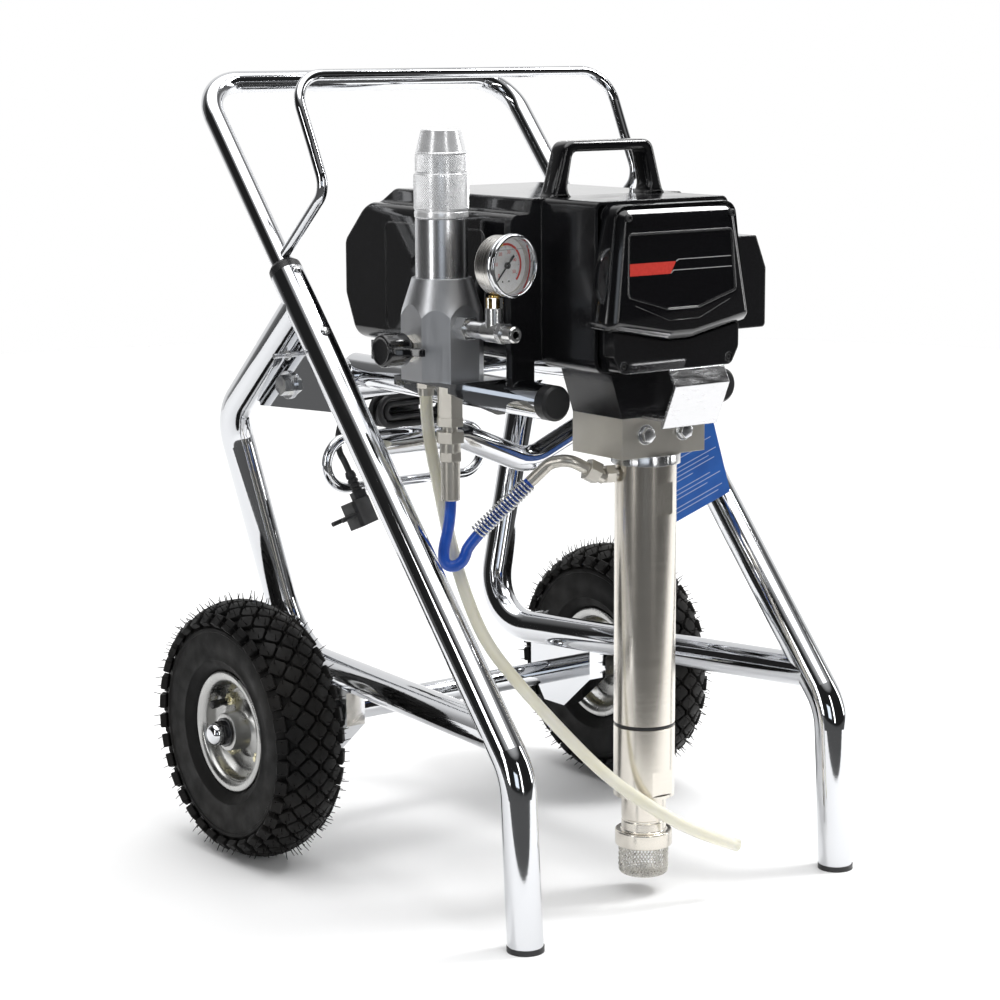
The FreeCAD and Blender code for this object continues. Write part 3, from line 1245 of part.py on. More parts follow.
def front_cover():
    """Plastic shell with a V-shaped bottom, its face leaning back towards the top."""
    corners = cover_outline()
    shell = slab_y(corners, COVER_Y, both_ways(COVER_ROUNDS))
    hollow = slab_y(grown(corners, SKIN), (COVER_Y[0] + SKIN, COVER_Y[1] + 1), both_ways(COVER_HOLLOW_ROUNDS))
    seat = COVER_Y[0] + SCREW_SEAT
    posts = [y_bar((s * SCREWS_HIGH[0], SCREWS_HIGH[1]), (seat, COVER_Y[1]), POST_HIGH[0]) for s in (1, -1)]
    body = joined(shell.cut(hollow.cut(in_front(SKIN))), *posts).cut(in_front(0))
    holes = []
    for x, z, y in screw_places()[:2]:
        holes.append(y_bar((x, z), (COVER_Y[0] - 1, y), SCREW_R + 0.6))
        holes.append(y_bar((x, z), (y - 1, COVER_Y[1] + 1), SCREW_SHANK_R))
    badge = slab_y(both_halves(list(BADGE_CORNERS)), (0, COVER_Y[1]), BADGE_ROUND)
    return body.cut(holes + [badge.common(in_front(BADGE_DEPTH))])


def lower_cover():
    """Plastic plate under the front cover."""
    front = LOWER_Y - SCREW_HEAD - FREE_GAP
    rounds = both_ways((0, LOWER_ROUND, LOWER_ROUND))
    shell = slab_y(both_halves(list(LOWER_CORNERS)), (front, COVER_Y[1]), rounds)
    hollow = slab_y(both_halves(list(LOWER_HOLLOW)), (front + SKIN, COVER_Y[1] + 1),
                    both_ways((0, LOWER_HOLLOW_ROUND, LOWER_HOLLOW_ROUND)))
    posts = [y_bar((s * SCREWS_LOW[0], SCREWS_LOW[1]), (LOWER_Y, COVER_Y[1]), POST_LOW[0]) for s in (1, -1)]
    body = joined(shell.cut(hollow), *posts)
    holes = []
    for x, z, y in screw_places()[2:]:
        holes.append(y_bar((x, z), (LOWER_Y - 9, y), SCREW_R + 0.6))
        holes.append(y_bar((x, z), (y - 1, COVER_Y[1] + 1), SCREW_SHANK_R))
    return largest(body.cut(holes + [slab_y(cover_outline(), (0, COVER_Y[1] + 2))]))


def cover_screw(x, z, y):
    """Recessed screw with a cross slot, through a cover into the gear housing."""
    head = y_bar((x, z), (y - SCREW_HEAD, y), SCREW_R)
    floor = y - SCREW_HEAD / 2
    slots = [block((x - 2, x + 2), (y - 4, floor), (z - 0.5, z + 0.5)),
             block((x - 0.5, x + 0.5), (y - 4, floor), (z - 2, z + 2))]
    return joined(head.cut(slots), y_bar((x, z), (floor, COVER_Y[1] + SCREW_GRIP), SCREW_SHANK_R))


def head_outline(half_x, inset=0.0):
    """The head seen from the front: wide box with a raised deck."""
    x = half_x - inset
    deck = DECK_X - inset
    low, step = MOTOR_Z[0] + inset, MOTOR_Z[1] - inset
    return both_halves([(deck, DECK_Z - inset), (deck + DECK_SLOPE, step), (x, step), (x, low)])


def gear_housing():
    """Cast housing: crank chamber, gear chamber, web, rear flange and the nose over the pump."""
    low, high = GEARCASE_LOW, DECK_Z
    x = GEARCASE_X
    outer = slab_y(both_halves([(x, high), (x, low)]), (COVER_Y[1], GEARCASE_Y), both_ways(GEARCASE_ROUNDS))
    nose_half, nose_rise = NOSE_TOP
    nose = slab_y(both_halves([(nose_half, low + nose_rise), (BLOCK_HALF_X, BLOCK_Z[1])]), BLOCK_Y)
    flange = slab_y(head_outline(FLANGE_HALF_X), (GEARCASE_Y, FLANGE_Y), both_ways(HEAD_ROUNDS))
    foot = block((RAIL_X - FOOT_HALF_X, RAIL_X + FOOT_HALF_X), (GEARCASE_Y, FLANGE_Y),
                 (RAIL_Z + FOOT_LOW, MOTOR_Z[0] + FOOT_HALF_X)).cut(rail_axis(RAIL_R))
    inside = both_halves([(x - SKIN, high - SKIN), (x - SKIN, low + SKIN)])
    front = slab_y(inside, (COVER_Y[1] - 1, WEB_Y[0]), both_ways(CHAMBER_ROUNDS))
    rear = slab_y(inside, (WEB_Y[1], GEARCASE_Y), both_ways(CHAMBER_ROUNDS))
    nose = nose.cut(block((-x, x), (0, COVER_Y[1]), (low, high)))
    body = joined(outer, nose, flange, *pair(foot)).cut([front, rear])
    posts = [y_bar((s * px, pz), (COVER_Y[1], COVER_Y[1] + POST_DEPTH), r).common(outer)
             for (px, pz), r in ((SCREWS_HIGH, POST_HIGH[1]), (SCREWS_LOW, POST_LOW[1])) for s in (1, -1)]
    body = joined(body, *posts)
    shaft_y = (WEB_Y[0] - 1, SHAFT_END + FREE_GAP)
    bores = [y_bar((px, pz), (COVER_Y[1] - 1, COVER_Y[1] + SCREW_GRIP), SCREW_SHANK_R)
             for px, pz, y in screw_places()]
    bores += [rod((0, PUMP_Y, BLOCK_Z[1] - 1), (0, PUMP_Y, low + SKIN + 1), NOSE_BORE),
              block((-HOOK_HALF_X, HOOK_HALF_X), (BLOCK_Y[0] - 1, BLOCK_Y[0] + HOOK_TAB),
                    (BLOCK_Z[1] - 1, BLOCK_Z[1] + HOOK_PLATE)),
              y_bar(CRANK_AXIS, shaft_y, CRANK_SHAFT_R + RUN_GAP),
              y_bar(REDUCTION_AXIS, shaft_y, REDUCTION_SHAFT_R + RUN_GAP),
              y_bar(MOTOR_AXIS, (GEARCASE_Y - 1, FLANGE_Y + 1), SHAFT_R + RUN_GAP)]
    return body.cut(bores)


def rear_box(inset):
    """The motor cover's outer form, or its hollow when it is inset by the skin."""
    front = head_outline(MOTOR_HALF_X, inset)
    start = FLANGE_Y - (1 if inset else 0)
    end = MOTOR_Y - inset
    side = [(start, MOTOR_Z[0] + inset), (start, DECK_Z - inset), (DECK_BACK[0], DECK_Z - inset),
            (DECK_BACK[1], MOTOR_Z[1] - inset), (end, MOTOR_REAR_Z[1]), (end, MOTOR_REAR_Z[0]),
            (end - MOTOR_REAR_IN, MOTOR_Z[0] + inset)]
    rounds = [max(1, r - inset) for r in both_ways(HEAD_ROUNDS)]
    top_r, rear_r = MOTOR_ROUNDS
    wide = (-MOTOR_HALF_X - 5, MOTOR_HALF_X + 5)
    side_form = slab_x(side, wide, [0, 0, top_r, top_r, rear_r, rear_r, rear_r])
    return slab_y(front, (start, end), rounds).common(side_form)


def motor_cover():
    """Rear box: a shell open towards the gear housing, with cooling slots in its rear face."""
    places = [SLOT_PITCH * (k - (SLOTS - 1) / 2) for k in range(SLOTS)]
    slots = [block((x - SLOT_W / 2, x + SLOT_W / 2), (MOTOR_Y - 2 * SKIN, MOTOR_Y + 1), SLOT_Z) for x in places]
    label = slab_x([(LABEL_Y[0], LABEL_Z[0]), (LABEL_Y[0], LABEL_Z[1]), (LABEL_Y[1], LABEL_Z[1]),
                    (LABEL_Y[1], LABEL_Z[0])], (-MOTOR_HALF_X - 1, -MOTOR_HALF_X + BADGE_DEPTH), LABEL_ROUND)
    gland = rod(V(*GLAND) - BACK * (SKIN + 1), V(*GLAND) + BACK, GLAND_R)
    return rear_box(0).cut([rear_box(SKIN), label, gland] + slots)


def carry_handle():
    """Arched grip on top of the head."""
    outer = both_halves([(GRIP_HALF_X[0], GRIP_TOP), (GRIP_HALF_X[1], DECK_Z)])
    grip = slab_y(outer, (HANDLE_Y - GRIP_HALF_Y, HANDLE_Y + GRIP_HALF_Y), both_ways((GRIP_ROUND, 0)))
    low, high = FINGER_HEIGHTS
    fingers = both_halves([(FINGER_HALF_X, GRIP_TOP - high), (FINGER_HALF_X, DECK_Z + low)])
    hole = slab_y(fingers, (HANDLE_Y - GRIP_HALF_Y - 1, HANDLE_Y + GRIP_HALF_Y + 1), FINGER_ROUND)
    hollow = slab_y(both_halves(list(GRIP_HOLLOW)), (HANDLE_Y - GRIP_HOLLOW_Y, HANDLE_Y + GRIP_HOLLOW_Y))
    roof = block((-GRIP_HALF_X[1], GRIP_HALF_X[1]), (0, 2 * HANDLE_Y), (DECK_Z - 1, DECK_Z + low - 1))
    return grip.cut([hole, hollow.common(roof)])


def control_block(x, half_y, half_z):
    """A box round the middle of the switch."""
    return block(x, (SWITCH_Y - half_y, SWITCH_Y + half_y), (CONTROL_Z - half_z, CONTROL_Z + half_z))


def control_box():
    """Box on the right side of the gear housing, for the pressure control and the switch."""
    left, right = BOX_X
    slope_w, slope_h = BOX_SLOPE
    low_r, top_r = BOX_ROUNDS
    low, high = BOX_Z
    slope_z = high - slope_h
    corners = [(left, low), (right, low), (right, slope_z), (right - slope_w, high), (left, high)]
    shell = slab_y(corners, BOX_Y, [0, low_r, top_r, top_r, 0])
    inner = [(left - 1, low + SKIN), (right - SKIN, low + SKIN), (right - SKIN, slope_z - 1),
             (right - slope_w - 2, high - SKIN), (left - 1, high - SKIN)]
    hollow = slab_y(inner, (BOX_Y[0] + SKIN, BOX_Y[1] - SKIN), [0, 1, 1, 1, 0])
    knob = rod((right - SKIN - 1, KNOB_Y, CONTROL_Z), (right + 1, KNOB_Y, CONTROL_Z), CONTROL_STEM_R + RUN_GAP)
    window = control_block((right - SKIN - 1, right + 1), *SWITCH_HALF)
    return shell.cut([hollow, knob, window])


def pressure_knob():
    """Ribbed knob on a short stem."""
    right = BOX_X[1]
    cap = rod((right + FREE_GAP, KNOB_Y, CONTROL_Z), (right + CONTROL_H, KNOB_Y, CONTROL_Z), CONTROL_R)
    notches = []
    for k in range(16):
        angle = 2 * math.pi * k / 16
        y = KNOB_Y + (CONTROL_R + 1) * math.cos(angle)
        z = CONTROL_Z + (CONTROL_R + 1) * math.sin(angle)
        notches.append(rod((right + 3, y, z), (right + CONTROL_H + 1, y, z), 2))
    stem = rod((right - SKIN - 8, KNOB_Y, CONTROL_Z), (right + 2, KNOB_Y, CONTROL_Z), CONTROL_STEM_R)
    return joined(cap.cut(notches), stem)


def power_switch():
    """Rocker on a cross pin, shaped as a shallow V."""
    right = BOX_X[1]
    half_y, half_z = ROCKER_HALF
    low, middle, high = ROCKER_RISE
    pin_r, pin_depth = ROCKER_PIN
    back = right - 2 * pin_depth
    under, over = CONTROL_Z - half_z, CONTROL_Z + half_z
    corners = [(back, under), (right + low, under - FREE_GAP), (right + middle, CONTROL_Z), (right + high, over),
               (back, over)]
    rocker = slab_y(corners, (SWITCH_Y - half_y, SWITCH_Y + half_y))
    return rocker.cut(y_bar((right - pin_depth, CONTROL_Z), (SWITCH_Y - half_y - 1, SWITCH_Y + half_y + 1),
                            pin_r + RUN_GAP))


def switch_frame():
    """Frame of the rocker, with its pin."""
    right = BOX_X[1]
    half_y, half_z = SWITCH_HALF
    pin_r, pin_depth = ROCKER_PIN
    frame = control_block((right - 9, right + 1.5), half_y, half_z)
    window = control_block((right - 8, right + 2), half_y - 0.6, half_z - 0.6)
    pin = y_bar((right - pin_depth, CONTROL_Z), (SWITCH_Y - half_y + 0.5, SWITCH_Y + half_y - 0.5), pin_r)
    return joined(frame.cut(window), pin)


# Manifold and filter

def manifold_block():
    """Square block with chamfered corners, turned to a cone at its top, with its ports."""
    half = BLOCK_SIDE / 2
    cut = half - BLOCK_CHAMFER
    octagon = ((half, cut), (cut, half), (-cut, half), (-half, cut), (-half, -cut), (-cut, -half), (cut, -half),
               (half, -cut))
    corners = [(BLOCK_X + x, BLOCK_MID_Y + y) for x, y in octagon]
    body = slab_z(corners, (BLOCK_BOTTOM, BLOCK_TOP))
    low_r = CONE_TOP_R + CONE_GROWTH * BLOCK_H
    cone_profile = [(0, 0), (low_r, 0), (CONE_TOP_R, BLOCK_H), (0, BLOCK_H)]
    cone = turned(cone_profile, (BLOCK_X, BLOCK_MID_Y, BLOCK_BOTTOM))
    floor = V(BLOCK_X, BLOCK_MID_Y, BLOCK_BOTTOM + CHAMBER_FLOOR)
    mouth = V(BLOCK_X, BLOCK_MID_Y, BLOCK_TOP + 1)
    chamber = rod(floor, mouth, FILTER_BORE)
    thread = rod(mouth - UP * (FILTER_THREAD[2] + 1), mouth, FILTER_BORE + FILTER_THREAD[0])
    tee_r, tee_depth = TEE_SHANK
    prime_r, prime_depth = PRIME_SHANK
    drain_r, drain_depth = DRAIN_SHANK
    side = V(BLOCK_LEFT, BLOCK_MID_Y, PRIME_Z)
    ports = [rod((TEE_X, BLOCK_FRONT - 1, TEE_Z), (TEE_X, BLOCK_FRONT + tee_depth, TEE_Z), tee_r),
             rod(side - ACROSS, side + ACROSS * prime_depth, prime_r),
             rod((HOSE_X, HOSE_Y, BLOCK_BOTTOM - 1), (HOSE_X, HOSE_Y, BLOCK_BOTTOM + ADAPTER_DEPTH), ADAPTER_R),
             rod((DRAIN_X, DRAIN_Y, BLOCK_BOTTOM - 1), (DRAIN_X, DRAIN_Y, BLOCK_BOTTOM + drain_depth), drain_r)]
    return body.common(cone).cut([chamber, thread] + ports)


def filter_tube():
    """Smooth tube screwed into the block."""
    depth, above, below_top = FILTER_THREAD
    wide = FILTER_BORE + depth
    profile = [(FILTER_BORE, -below_top), (wide, -below_top), (wide, 0), (FILTER_R, 0),
               (FILTER_R, FILTER_TUBE_H - 0.8), (FILTER_R - 0.8, FILTER_TUBE_H), (wide, FILTER_TUBE_H),
               (wide, FILTER_TUBE_H + above), (FILTER_BORE, FILTER_TUBE_H + above)]
    return turned(profile, (BLOCK_X, BLOCK_MID_Y, BLOCK_TOP))


def filter_cap():
    """Knurled cap with a cone end, screwed on the tube."""
    h1 = COLLAR_H
    h2 = COLLAR_H + KNURL_H
    h3 = h2 + CONE_H
    wide = FILTER_BORE + FILTER_THREAD[0]
    profile = [(wide, 0), (COLLAR_R - 0.8, 0), (COLLAR_R, 0.8), (COLLAR_R, h1 - 0.8),
               (COLLAR_R - 0.8, h1), (KNURL_R, h1), (KNURL_R, h2), (CONE_END_R, h3 - 1), (CONE_END_R - 1, h3),
               (CAP_HOLE[0], h3), (CAP_HOLE[0], h3 - CAP_HOLE[1]),
               (FILTER_BORE, h2 - 4), (FILTER_BORE, FILTER_THREAD[1]), (wide, FILTER_THREAD[1])]
    return turned(profile, (BLOCK_X, BLOCK_MID_Y, BLOCK_TOP + FILTER_TUBE_H))


def filter_element():
    """Filter cartridge: a hollow cylinder with end rings."""
    low = BLOCK_BOTTOM + CHAMBER_FLOOR
    high = BLOCK_TOP + FILTER_TUBE_H + 2 * FILTER_THREAD[1]
    bore, ring = ELEMENT_R - 7, ELEMENT_R + 2
    profile = [(bore, low), (ring, low), (ring, low + 6), (ELEMENT_R, low + 6), (ELEMENT_R, high - 6),
               (ring, high - 6), (ring, high), (bore, high)]
    return turned(profile, (BLOCK_X, BLOCK_MID_Y, 0))


def prime_body():
    """Threaded cartridge of the prime valve, with a hexagon outside the block."""
    radius, depth = PRIME_SHANK
    face = V(BLOCK_LEFT, BLOCK_MID_Y, PRIME_Z)
    shank = rod(face + ACROSS * depth, face, radius)
    nut = hexagon(face, V(-1, 0, 0), *PRIME_NUT)
    bore = rod(face + ACROSS * (depth - 4), face - ACROSS * (PRIME_NUT[1] + 1), PRIME_STEM_R + RUN_GAP)
    return joined(shank, nut).cut(bore)


def prime_knob():
    """Round knob with a lever wing, on the valve's stem."""
    inner, outer = PRIME_KNOB_X
    length = inner - outer
    profile = [(0, 0), (PRIME_KNOB_R - 3, 0), (PRIME_KNOB_R, 6), (PRIME_KNOB_R, length - 2),
               (PRIME_KNOB_R - 2, length), (0, length)]
    cap = turned(profile, (inner, BLOCK_MID_Y, PRIME_Z), V(-1, 0, 0))
    reach = BLOCK_MID_Y - WING_Y
    corners = [(inner - 4, BLOCK_MID_Y), (inner - 4, reach), (inner - 16, reach), (outer + 8, BLOCK_MID_Y - 12),
               (outer + 8, BLOCK_MID_Y)]
    wing = slab_z(corners, (PRIME_Z - WING_HALF, PRIME_Z + WING_HALF), [0, 5, 5, 5, 0])
    stem = rod((BLOCK_LEFT + 9, BLOCK_MID_Y, PRIME_Z), (inner - 1, BLOCK_MID_Y, PRIME_Z), PRIME_STEM_R)
    return joined(cap, wing, stem)


# Gauge

def gauge_tee():
    """Union nut, tee and hose nipple in front of the block."""
    x, z = TEE_X, TEE_Z
    shank_r, depth = TEE_SHANK
    riser_r, rise = TEE_RISER
    shank = rod((x, BLOCK_FRONT + depth, z), (x, BLOCK_FRONT, z), shank_r)
    nut = hexagon((x, BLOCK_FRONT, z), V(0, -1, 0), *TEE_NUT)
    neck = rod((x, BLOCK_FRONT - TEE_NUT[1], z), (x, TEE_Y + TEE_HALF - 1, z), TEE_NECK_R)
    barrel = rod((x, TEE_Y + TEE_HALF, z), (x, TEE_Y - TEE_HALF, z), TEE_R)
    riser = rod((x, TEE_Y, z), (x, TEE_Y, z + rise), riser_r)
    collar = hexagon((x, TEE_Y - TEE_HALF, z), V(0, -1, 0), *TEE_COLLAR)
    start = TEE_Y - TEE_HALF - TEE_COLLAR[1]
    length = start - TEE_FRONT
    outlet = turned([(0, 0), (OUTLET_R, 0), (OUTLET_R, length - 1.5), (OUTLET_R - 1.4, length), (0, length)],
                    (x, start, z), V(0, -1, 0))
    bore = rod((x, TEE_FRONT - 1, z), (x, BLOCK_FRONT + depth + 1, z), TEE_BORE_R)
    up = rod((x, TEE_Y, z), (x, TEE_Y, z + rise + 1), TEE_BORE_R)
    return joined(shank, nut, neck, barrel, riser, collar, outlet).cut([bore, up])


def gauge_nipple():
    """Brass hexagon nipple between tee and gauge."""
    low = TEE_Z + TEE_RISER[1]
    high = GAUGE[2] - GAUGE_R + 1
    nut = hexagon((TEE_X, TEE_Y, low), UP, NIPPLE_FLATS, high - low - 1.5)
    thread = rod((TEE_X, TEE_Y, low - 8), (TEE_X, TEE_Y, low), TEE_BORE_R)
    return joined(nut, thread)


def gauge_case():
    """Round case with a rim and its threaded stem."""
    depth = GAUGE_DEPTH
    rim = GAUGE_R - GAUGE_RIM
    profile = [(0, 0), (GAUGE_R - 3, 0), (GAUGE_R - 2, 1), (GAUGE_R - 2, depth - 9), (GAUGE_R, depth - 8),
               (GAUGE_R, depth - 1), (GAUGE_R - 1, depth), (rim, depth), (rim, 4), (0, 4)]
    case = turned(profile, GAUGE_BACK, GAUGE_WAY)
    stem = rod((TEE_X, TEE_Y, TEE_Z + TEE_RISER[1] + 2), (TEE_X, TEE_Y, GAUGE[2] - GAUGE_R + 4), 5)
    post = rod(GAUGE_BACK, GAUGE_BACK + GAUGE_WAY * (depth - 9), POST_R)
    stem = stem.cut([gauge_nipple(), case, rod(GAUGE_BACK, GAUGE_BACK + GAUGE_WAY * depth, GAUGE_R - 3)])
    return joined(case, post, *stem.Solids)


def gauge_dial():
    """Printed plate in the case."""
    low = GAUGE_BACK + GAUGE_WAY * (GAUGE_DEPTH - 14)
    return pipe(low, low + GAUGE_WAY, GAUGE_R - GAUGE_RIM, POST_R)


def gauge_lens():
    low = GAUGE_BACK + GAUGE_WAY * (GAUGE_DEPTH - 4)
    return rod(low, low + GAUGE_WAY * 2, GAUGE_R - GAUGE_RIM)


def gauge_needle():
    """Needle with its boss, turning on the post."""
    low = GAUGE_DEPTH - 11.5
    bore = POST_R + RUN_GAP
    boss = turned([(bore, low), (3, low), (3, low + 2), (bore, low + 2)], GAUGE_BACK, GAUGE_WAY)
    corners = [(-NEEDLE_TAIL, -1.1), (-6, -1.1), (-4, -0.7), (NEEDLE_LENGTH - 4, -0.7), (NEEDLE_LENGTH, 0),
               (NEEDLE_LENGTH - 4, 0.7), (-4, 0.7), (-6, 1.1), (-NEEDLE_TAIL, 1.1)]
    arm = slab_z(corners, (low + 0.6, low + 1.2)).cut(rod((0, 0, low), (0, 0, low + 3), 2))
    arm.rotate(V(0, 0, 0), UP, NEEDLE_ANGLE)
    side = V(math.cos(math.radians(GAUGE_TURN)), math.sin(math.radians(GAUGE_TURN)), 0)
    frame = FreeCAD.Matrix(side.x, 0, GAUGE_WAY.x, GAUGE_BACK.x, side.y, 0, GAUGE_WAY.y, GAUGE_BACK.y,
                           0, 1, 0, GAUGE_BACK.z, 0, 0, 0, 1)
    return joined(boss, *[part.transformed(frame) for part in arm.Solids])


# Drain, hose and their fittings

def drain_fitting():
    """Barb nut under the block that the drain tube pushes into."""
    radius, depth = DRAIN_SHANK
    wall, roof = DRAIN_CUP
    port = V(DRAIN_X, DRAIN_Y, BLOCK_BOTTOM)
    shank = rod(port - UP * roof, port + UP * depth, radius)
    cup = pipe(port - UP * DRAIN_FITTING_H, port - UP * roof, DRAIN_D / 2 + wall, DRAIN_D / 2)
    top = hexagon(port - UP * 2 * roof, UP, DRAIN_D + 5, roof)
    return joined(shank, cup, top)


DRAIN_WAY = [(DRAIN_X, DRAIN_Y, BLOCK_BOTTOM - DRAIN_PUSH[0]), (DRAIN_X, DRAIN_Y, BLOCK_BOTTOM - DRAIN_PUSH[1]),
             *DRAIN_BENDS]


def smooth_radii(points):
    """For each corner, 0.45 of its shorter run divided by the tangent of half the turn."""
    points = [V(*p) for p in points]
    radii = []
    for before, corner, after in zip(points, points[1:], points[2:]):
        back = before - corner
        front = after - corner
        half = (math.pi - back.getAngle(front)) / 2
        radii.append(0.45 * min(back.Length, front.Length) / math.tan(half))
    return radii


def drain_tube():
    """Stiff clear tube that hangs from its fitting to the pail."""
    radii = smooth_radii(DRAIN_WAY)
    print("drain tube radii", [round(r) for r in radii])
    return bent_tube(DRAIN_WAY, radii, DRAIN_D / 2, DRAIN_D / 2 - DRAIN_WALL)


HOSE_WAY = [(HOSE_X, HOSE_Y, FERRULE_LOW), (HOSE_X, HOSE_Y, FERRULE_LOW - HOSE_DROP), *HOSE_CORNERS,
            tuple(GUARD_LOW - GUARD_WAY * HOSE_BACK), GUARD_END]


def pressure_hose():
    """Blue hose: down from the adapter, round a tight bend and up to the inlet bend."""
    return sweep(bent_path(HOSE_WAY, list(HOSE_BENDS)), HOSE_D / 2)


def adapter_stack():
    """Hexagons, neck and ferrule under the manifold, down to the hose."""
    x, y = HOSE_X, HOSE_Y
    place = BLOCK_BOTTOM - SHELF_PLATE
    solids = [rod((x, y, place), (x, y, BLOCK_BOTTOM + ADAPTER_DEPTH), ADAPTER_R)]
    for flats, height in ADAPTER_STEPS:
        start = (x, y, place)
        solids.append(hexagon(start, V(0, 0, -1), flats, height))
        place -= height
    neck_low = BLOCK_BOTTOM - SHELF_PLATE - ADAPTER_NECK_Z
    ring_top = neck_low - SWIVEL[1]
    ring_low = ring_top - SWIVEL_RING[1]
    solids.append(rod((x, y, place), (x, y, neck_low), ADAPTER_R))
    solids.append(hexagon((x, y, neck_low), V(0, 0, -1), *SWIVEL))
    solids.append(rod((x, y, ring_top), (x, y, ring_low), SWIVEL_RING[0]))
    solids.append(hexagon((x, y, FERRULE_TOP), UP, ADAPTER_END_FLATS, ring_low - FERRULE_TOP))
    ferrule = turned([(0, FERRULE_LOW), (FERRULE_R - 0.7, FERRULE_LOW), (FERRULE_R, FERRULE_LOW + 1),
                      (FERRULE_R, FERRULE_TOP), (0, FERRULE_TOP)], (x, y, 0))
    return joined(*solids), ferrule


BEND_WAY = [GUARD_END, tuple(GUARD_HIGH + GUARD_WAY * BEND_RUN),
            tuple(PORT_FACE + PORT_WAY * BEND_CORNER[0] + UP * BEND_CORNER[1]),
            tuple(PORT_FACE + PORT_WAY * BEND_END[0] + UP * BEND_END[1])]


def inlet_bend():
    """Chromed bent tube with its nuts, from the hose's end to the pump's port."""
    tube = sweep(bent_path(BEND_WAY, BEND_R), HOSE_D / 2 + 0.3)
    way = (V(*BEND_WAY[3]) - V(*BEND_WAY[2])).normalize()
    start = V(*BEND_WAY[3]) - way * 3
    nut_end = start + way * BEND_NUT[1]
    nut = hexagon(start, way, *BEND_NUT)
    middle = rod(nut_end, nut_end + way * BEND_MIDDLE[1], BEND_MIDDLE[0])
    last = hexagon(PORT_FACE + PORT_WAY * (PORT_NUT[1] + 3), PORT_WAY * -1, *PORT_NUT)
    seat = V(0, PUMP_Y, INLET_Z) + PORT_WAY * PORT_SEAT_R
    port = rod(PORT_FACE + PORT_WAY * (PORT_NUT[1] + 4), seat, PORT_R)
    link = rod(nut_end + way, PORT_FACE + PORT_WAY * (PORT_NUT[1] - 1), PORT_R)
    return joined(tube, nut, middle, last, port, link)


def tangent_pair(start, way, end, end_way):
    """Two arcs from one place and direction to another, as their corner points and joint."""
    chord = end - start
    sum_way = way + end_way
    a = 2 * (way.dot(end_way) - 1)
    b = -2 * chord.dot(sum_way)
    c = chord.dot(chord)
    reach = -c / b if abs(a) < 1e-9 else (-b - math.sqrt(b * b - 4 * a * c)) / (2 * a)
    first = start + way * reach
    second = end - end_way * reach
    return first, (first + second) * 0.5, second


def arc_between(start, corner, end):
    """The arc from start to end whose tangents meet at the corner."""
    half = (corner - start).getAngle(end - corner) / 2
    back = (start - corner).normalize()
    front = (end - corner).normalize()
    reach = (start - corner).Length
    radius = reach / math.tan(half)
    middle = corner + (back + front).normalize() * (radius / math.cos(half) - radius)
    return Part.Arc(start, middle, end).toShape()


def least_gap(points, diameter, skip):
    """Least distance between parts of a wound wire that are not neighbours, less its diameter."""
    least = 1e9
    for i in range(0, len(points), 2):
        for j in range(i + skip, len(points), 2):
            least = min(least, (points[i] - points[j]).Length)
    return least - diameter


def spring_guard():
    """Steel spring round the hose under the inlet bend, one wire wound as a helix."""
    radius = HOSE_D / 2 + SPRING_GAP + SPRING_WIRE / 2
    length = (GUARD_HIGH - GUARD_LOW).Length - SPRING_WIRE * 2
    pitch = length / SPRING_TURNS
    turn = FreeCAD.Placement(GUARD_LOW + GUARD_WAY * SPRING_WIRE, FreeCAD.Rotation(UP, GUARD_WAY))

    def at(angle):
        rise = pitch * angle / (2 * math.pi)
        return turn.multVec(V(radius * math.cos(angle), radius * math.sin(angle), rise))

    def way(angle):
        slope = V(-radius * math.sin(angle), radius * math.cos(angle), pitch / (2 * math.pi))
        return turn.Rotation.multVec(slope).normalize()

    edges = []
    points = []
    step = math.pi / 2
    for k in range(int(SPRING_TURNS * 4)):
        start, end = at(k * step), at((k + 1) * step)
        first, joint, second = tangent_pair(start, way(k * step), end, way((k + 1) * step))
        edges.append(arc_between(start, first, joint))
        edges.append(arc_between(joint, second, end))
        points += [start, joint]
    print("spring guard's least gap to itself", round(least_gap(points, SPRING_WIRE, 6), 2))
    begin = at(0)
    wire = Part.Wire([Part.LineSegment(begin - way(0) * SPRING_WIRE, begin).toShape()] + edges)
    section = Part.Wire(Part.makeCircle(SPRING_WIRE / 2, begin - way(0) * SPRING_WIRE, way(0)))
    return wire.makePipeShell([section], True, False)


# Power cord

def hank():
    """Racetrack loops of cord that spiral in and out in layers. Each climb lies along a run."""
    heights = [HANK_H / 2 - CORD_D / 2 - HANK_STEP / 2 * k for k in range(4)]
    levels = [0]
    for layer in range(HANK_LAYERS):
        levels += [1, 2, 3] if layer % 2 == 0 else [2, 1, 0]
    ends = (HANK_X[0] + HANK_H / 2, HANK_X[1] - HANK_H / 2)
    last = len(levels) - 1
    edges = []
    leave = None
    for k, level in enumerate(levels):
        rightwards = k % 2 == 0
        z = HANK_Z + heights[level] * (1 if rightwards else -1)
        layer = max(0, (k - 1) // 3)
        climbs = k % 3 == 0 and 0 < k < last
        y = HANK_BACK - LAYER_STEP * layer
        x_start, x_end = ends if rightwards else ends[::-1]
        start = V(x_start - (CORD_D if k == 0 else 0), y, z)
        end = V(x_end + (CORD_D if k == last else 0), y - (LAYER_STEP if climbs else 0), z)
        if leave is not None:
            bulge = (start - leave).Length / 2 * (-1 if rightwards else 1)
            middle = (start + leave) * 0.5 + V(bulge, 0, 0)
            edges.append(Part.Arc(leave, middle, start).toShape())
        if climbs:
            way = V(1 if rightwards else -1, 0, 0)
            first, joint, second = tangent_pair(start, way, end, way)
            edges.append(arc_between(start, first, joint))
            edges.append(arc_between(joint, second, end))
        else:
            edges.append(Part.LineSegment(start, end).toShape())
        leave = end
    points = [p for edge in edges for p in edge.discretize(Distance=5.0)[:-1]]
    print("hank's least gap to itself", round(least_gap(points, CORD_D, 8), 2))
    return sweep(Part.Wire(edges), CORD_D / 2)


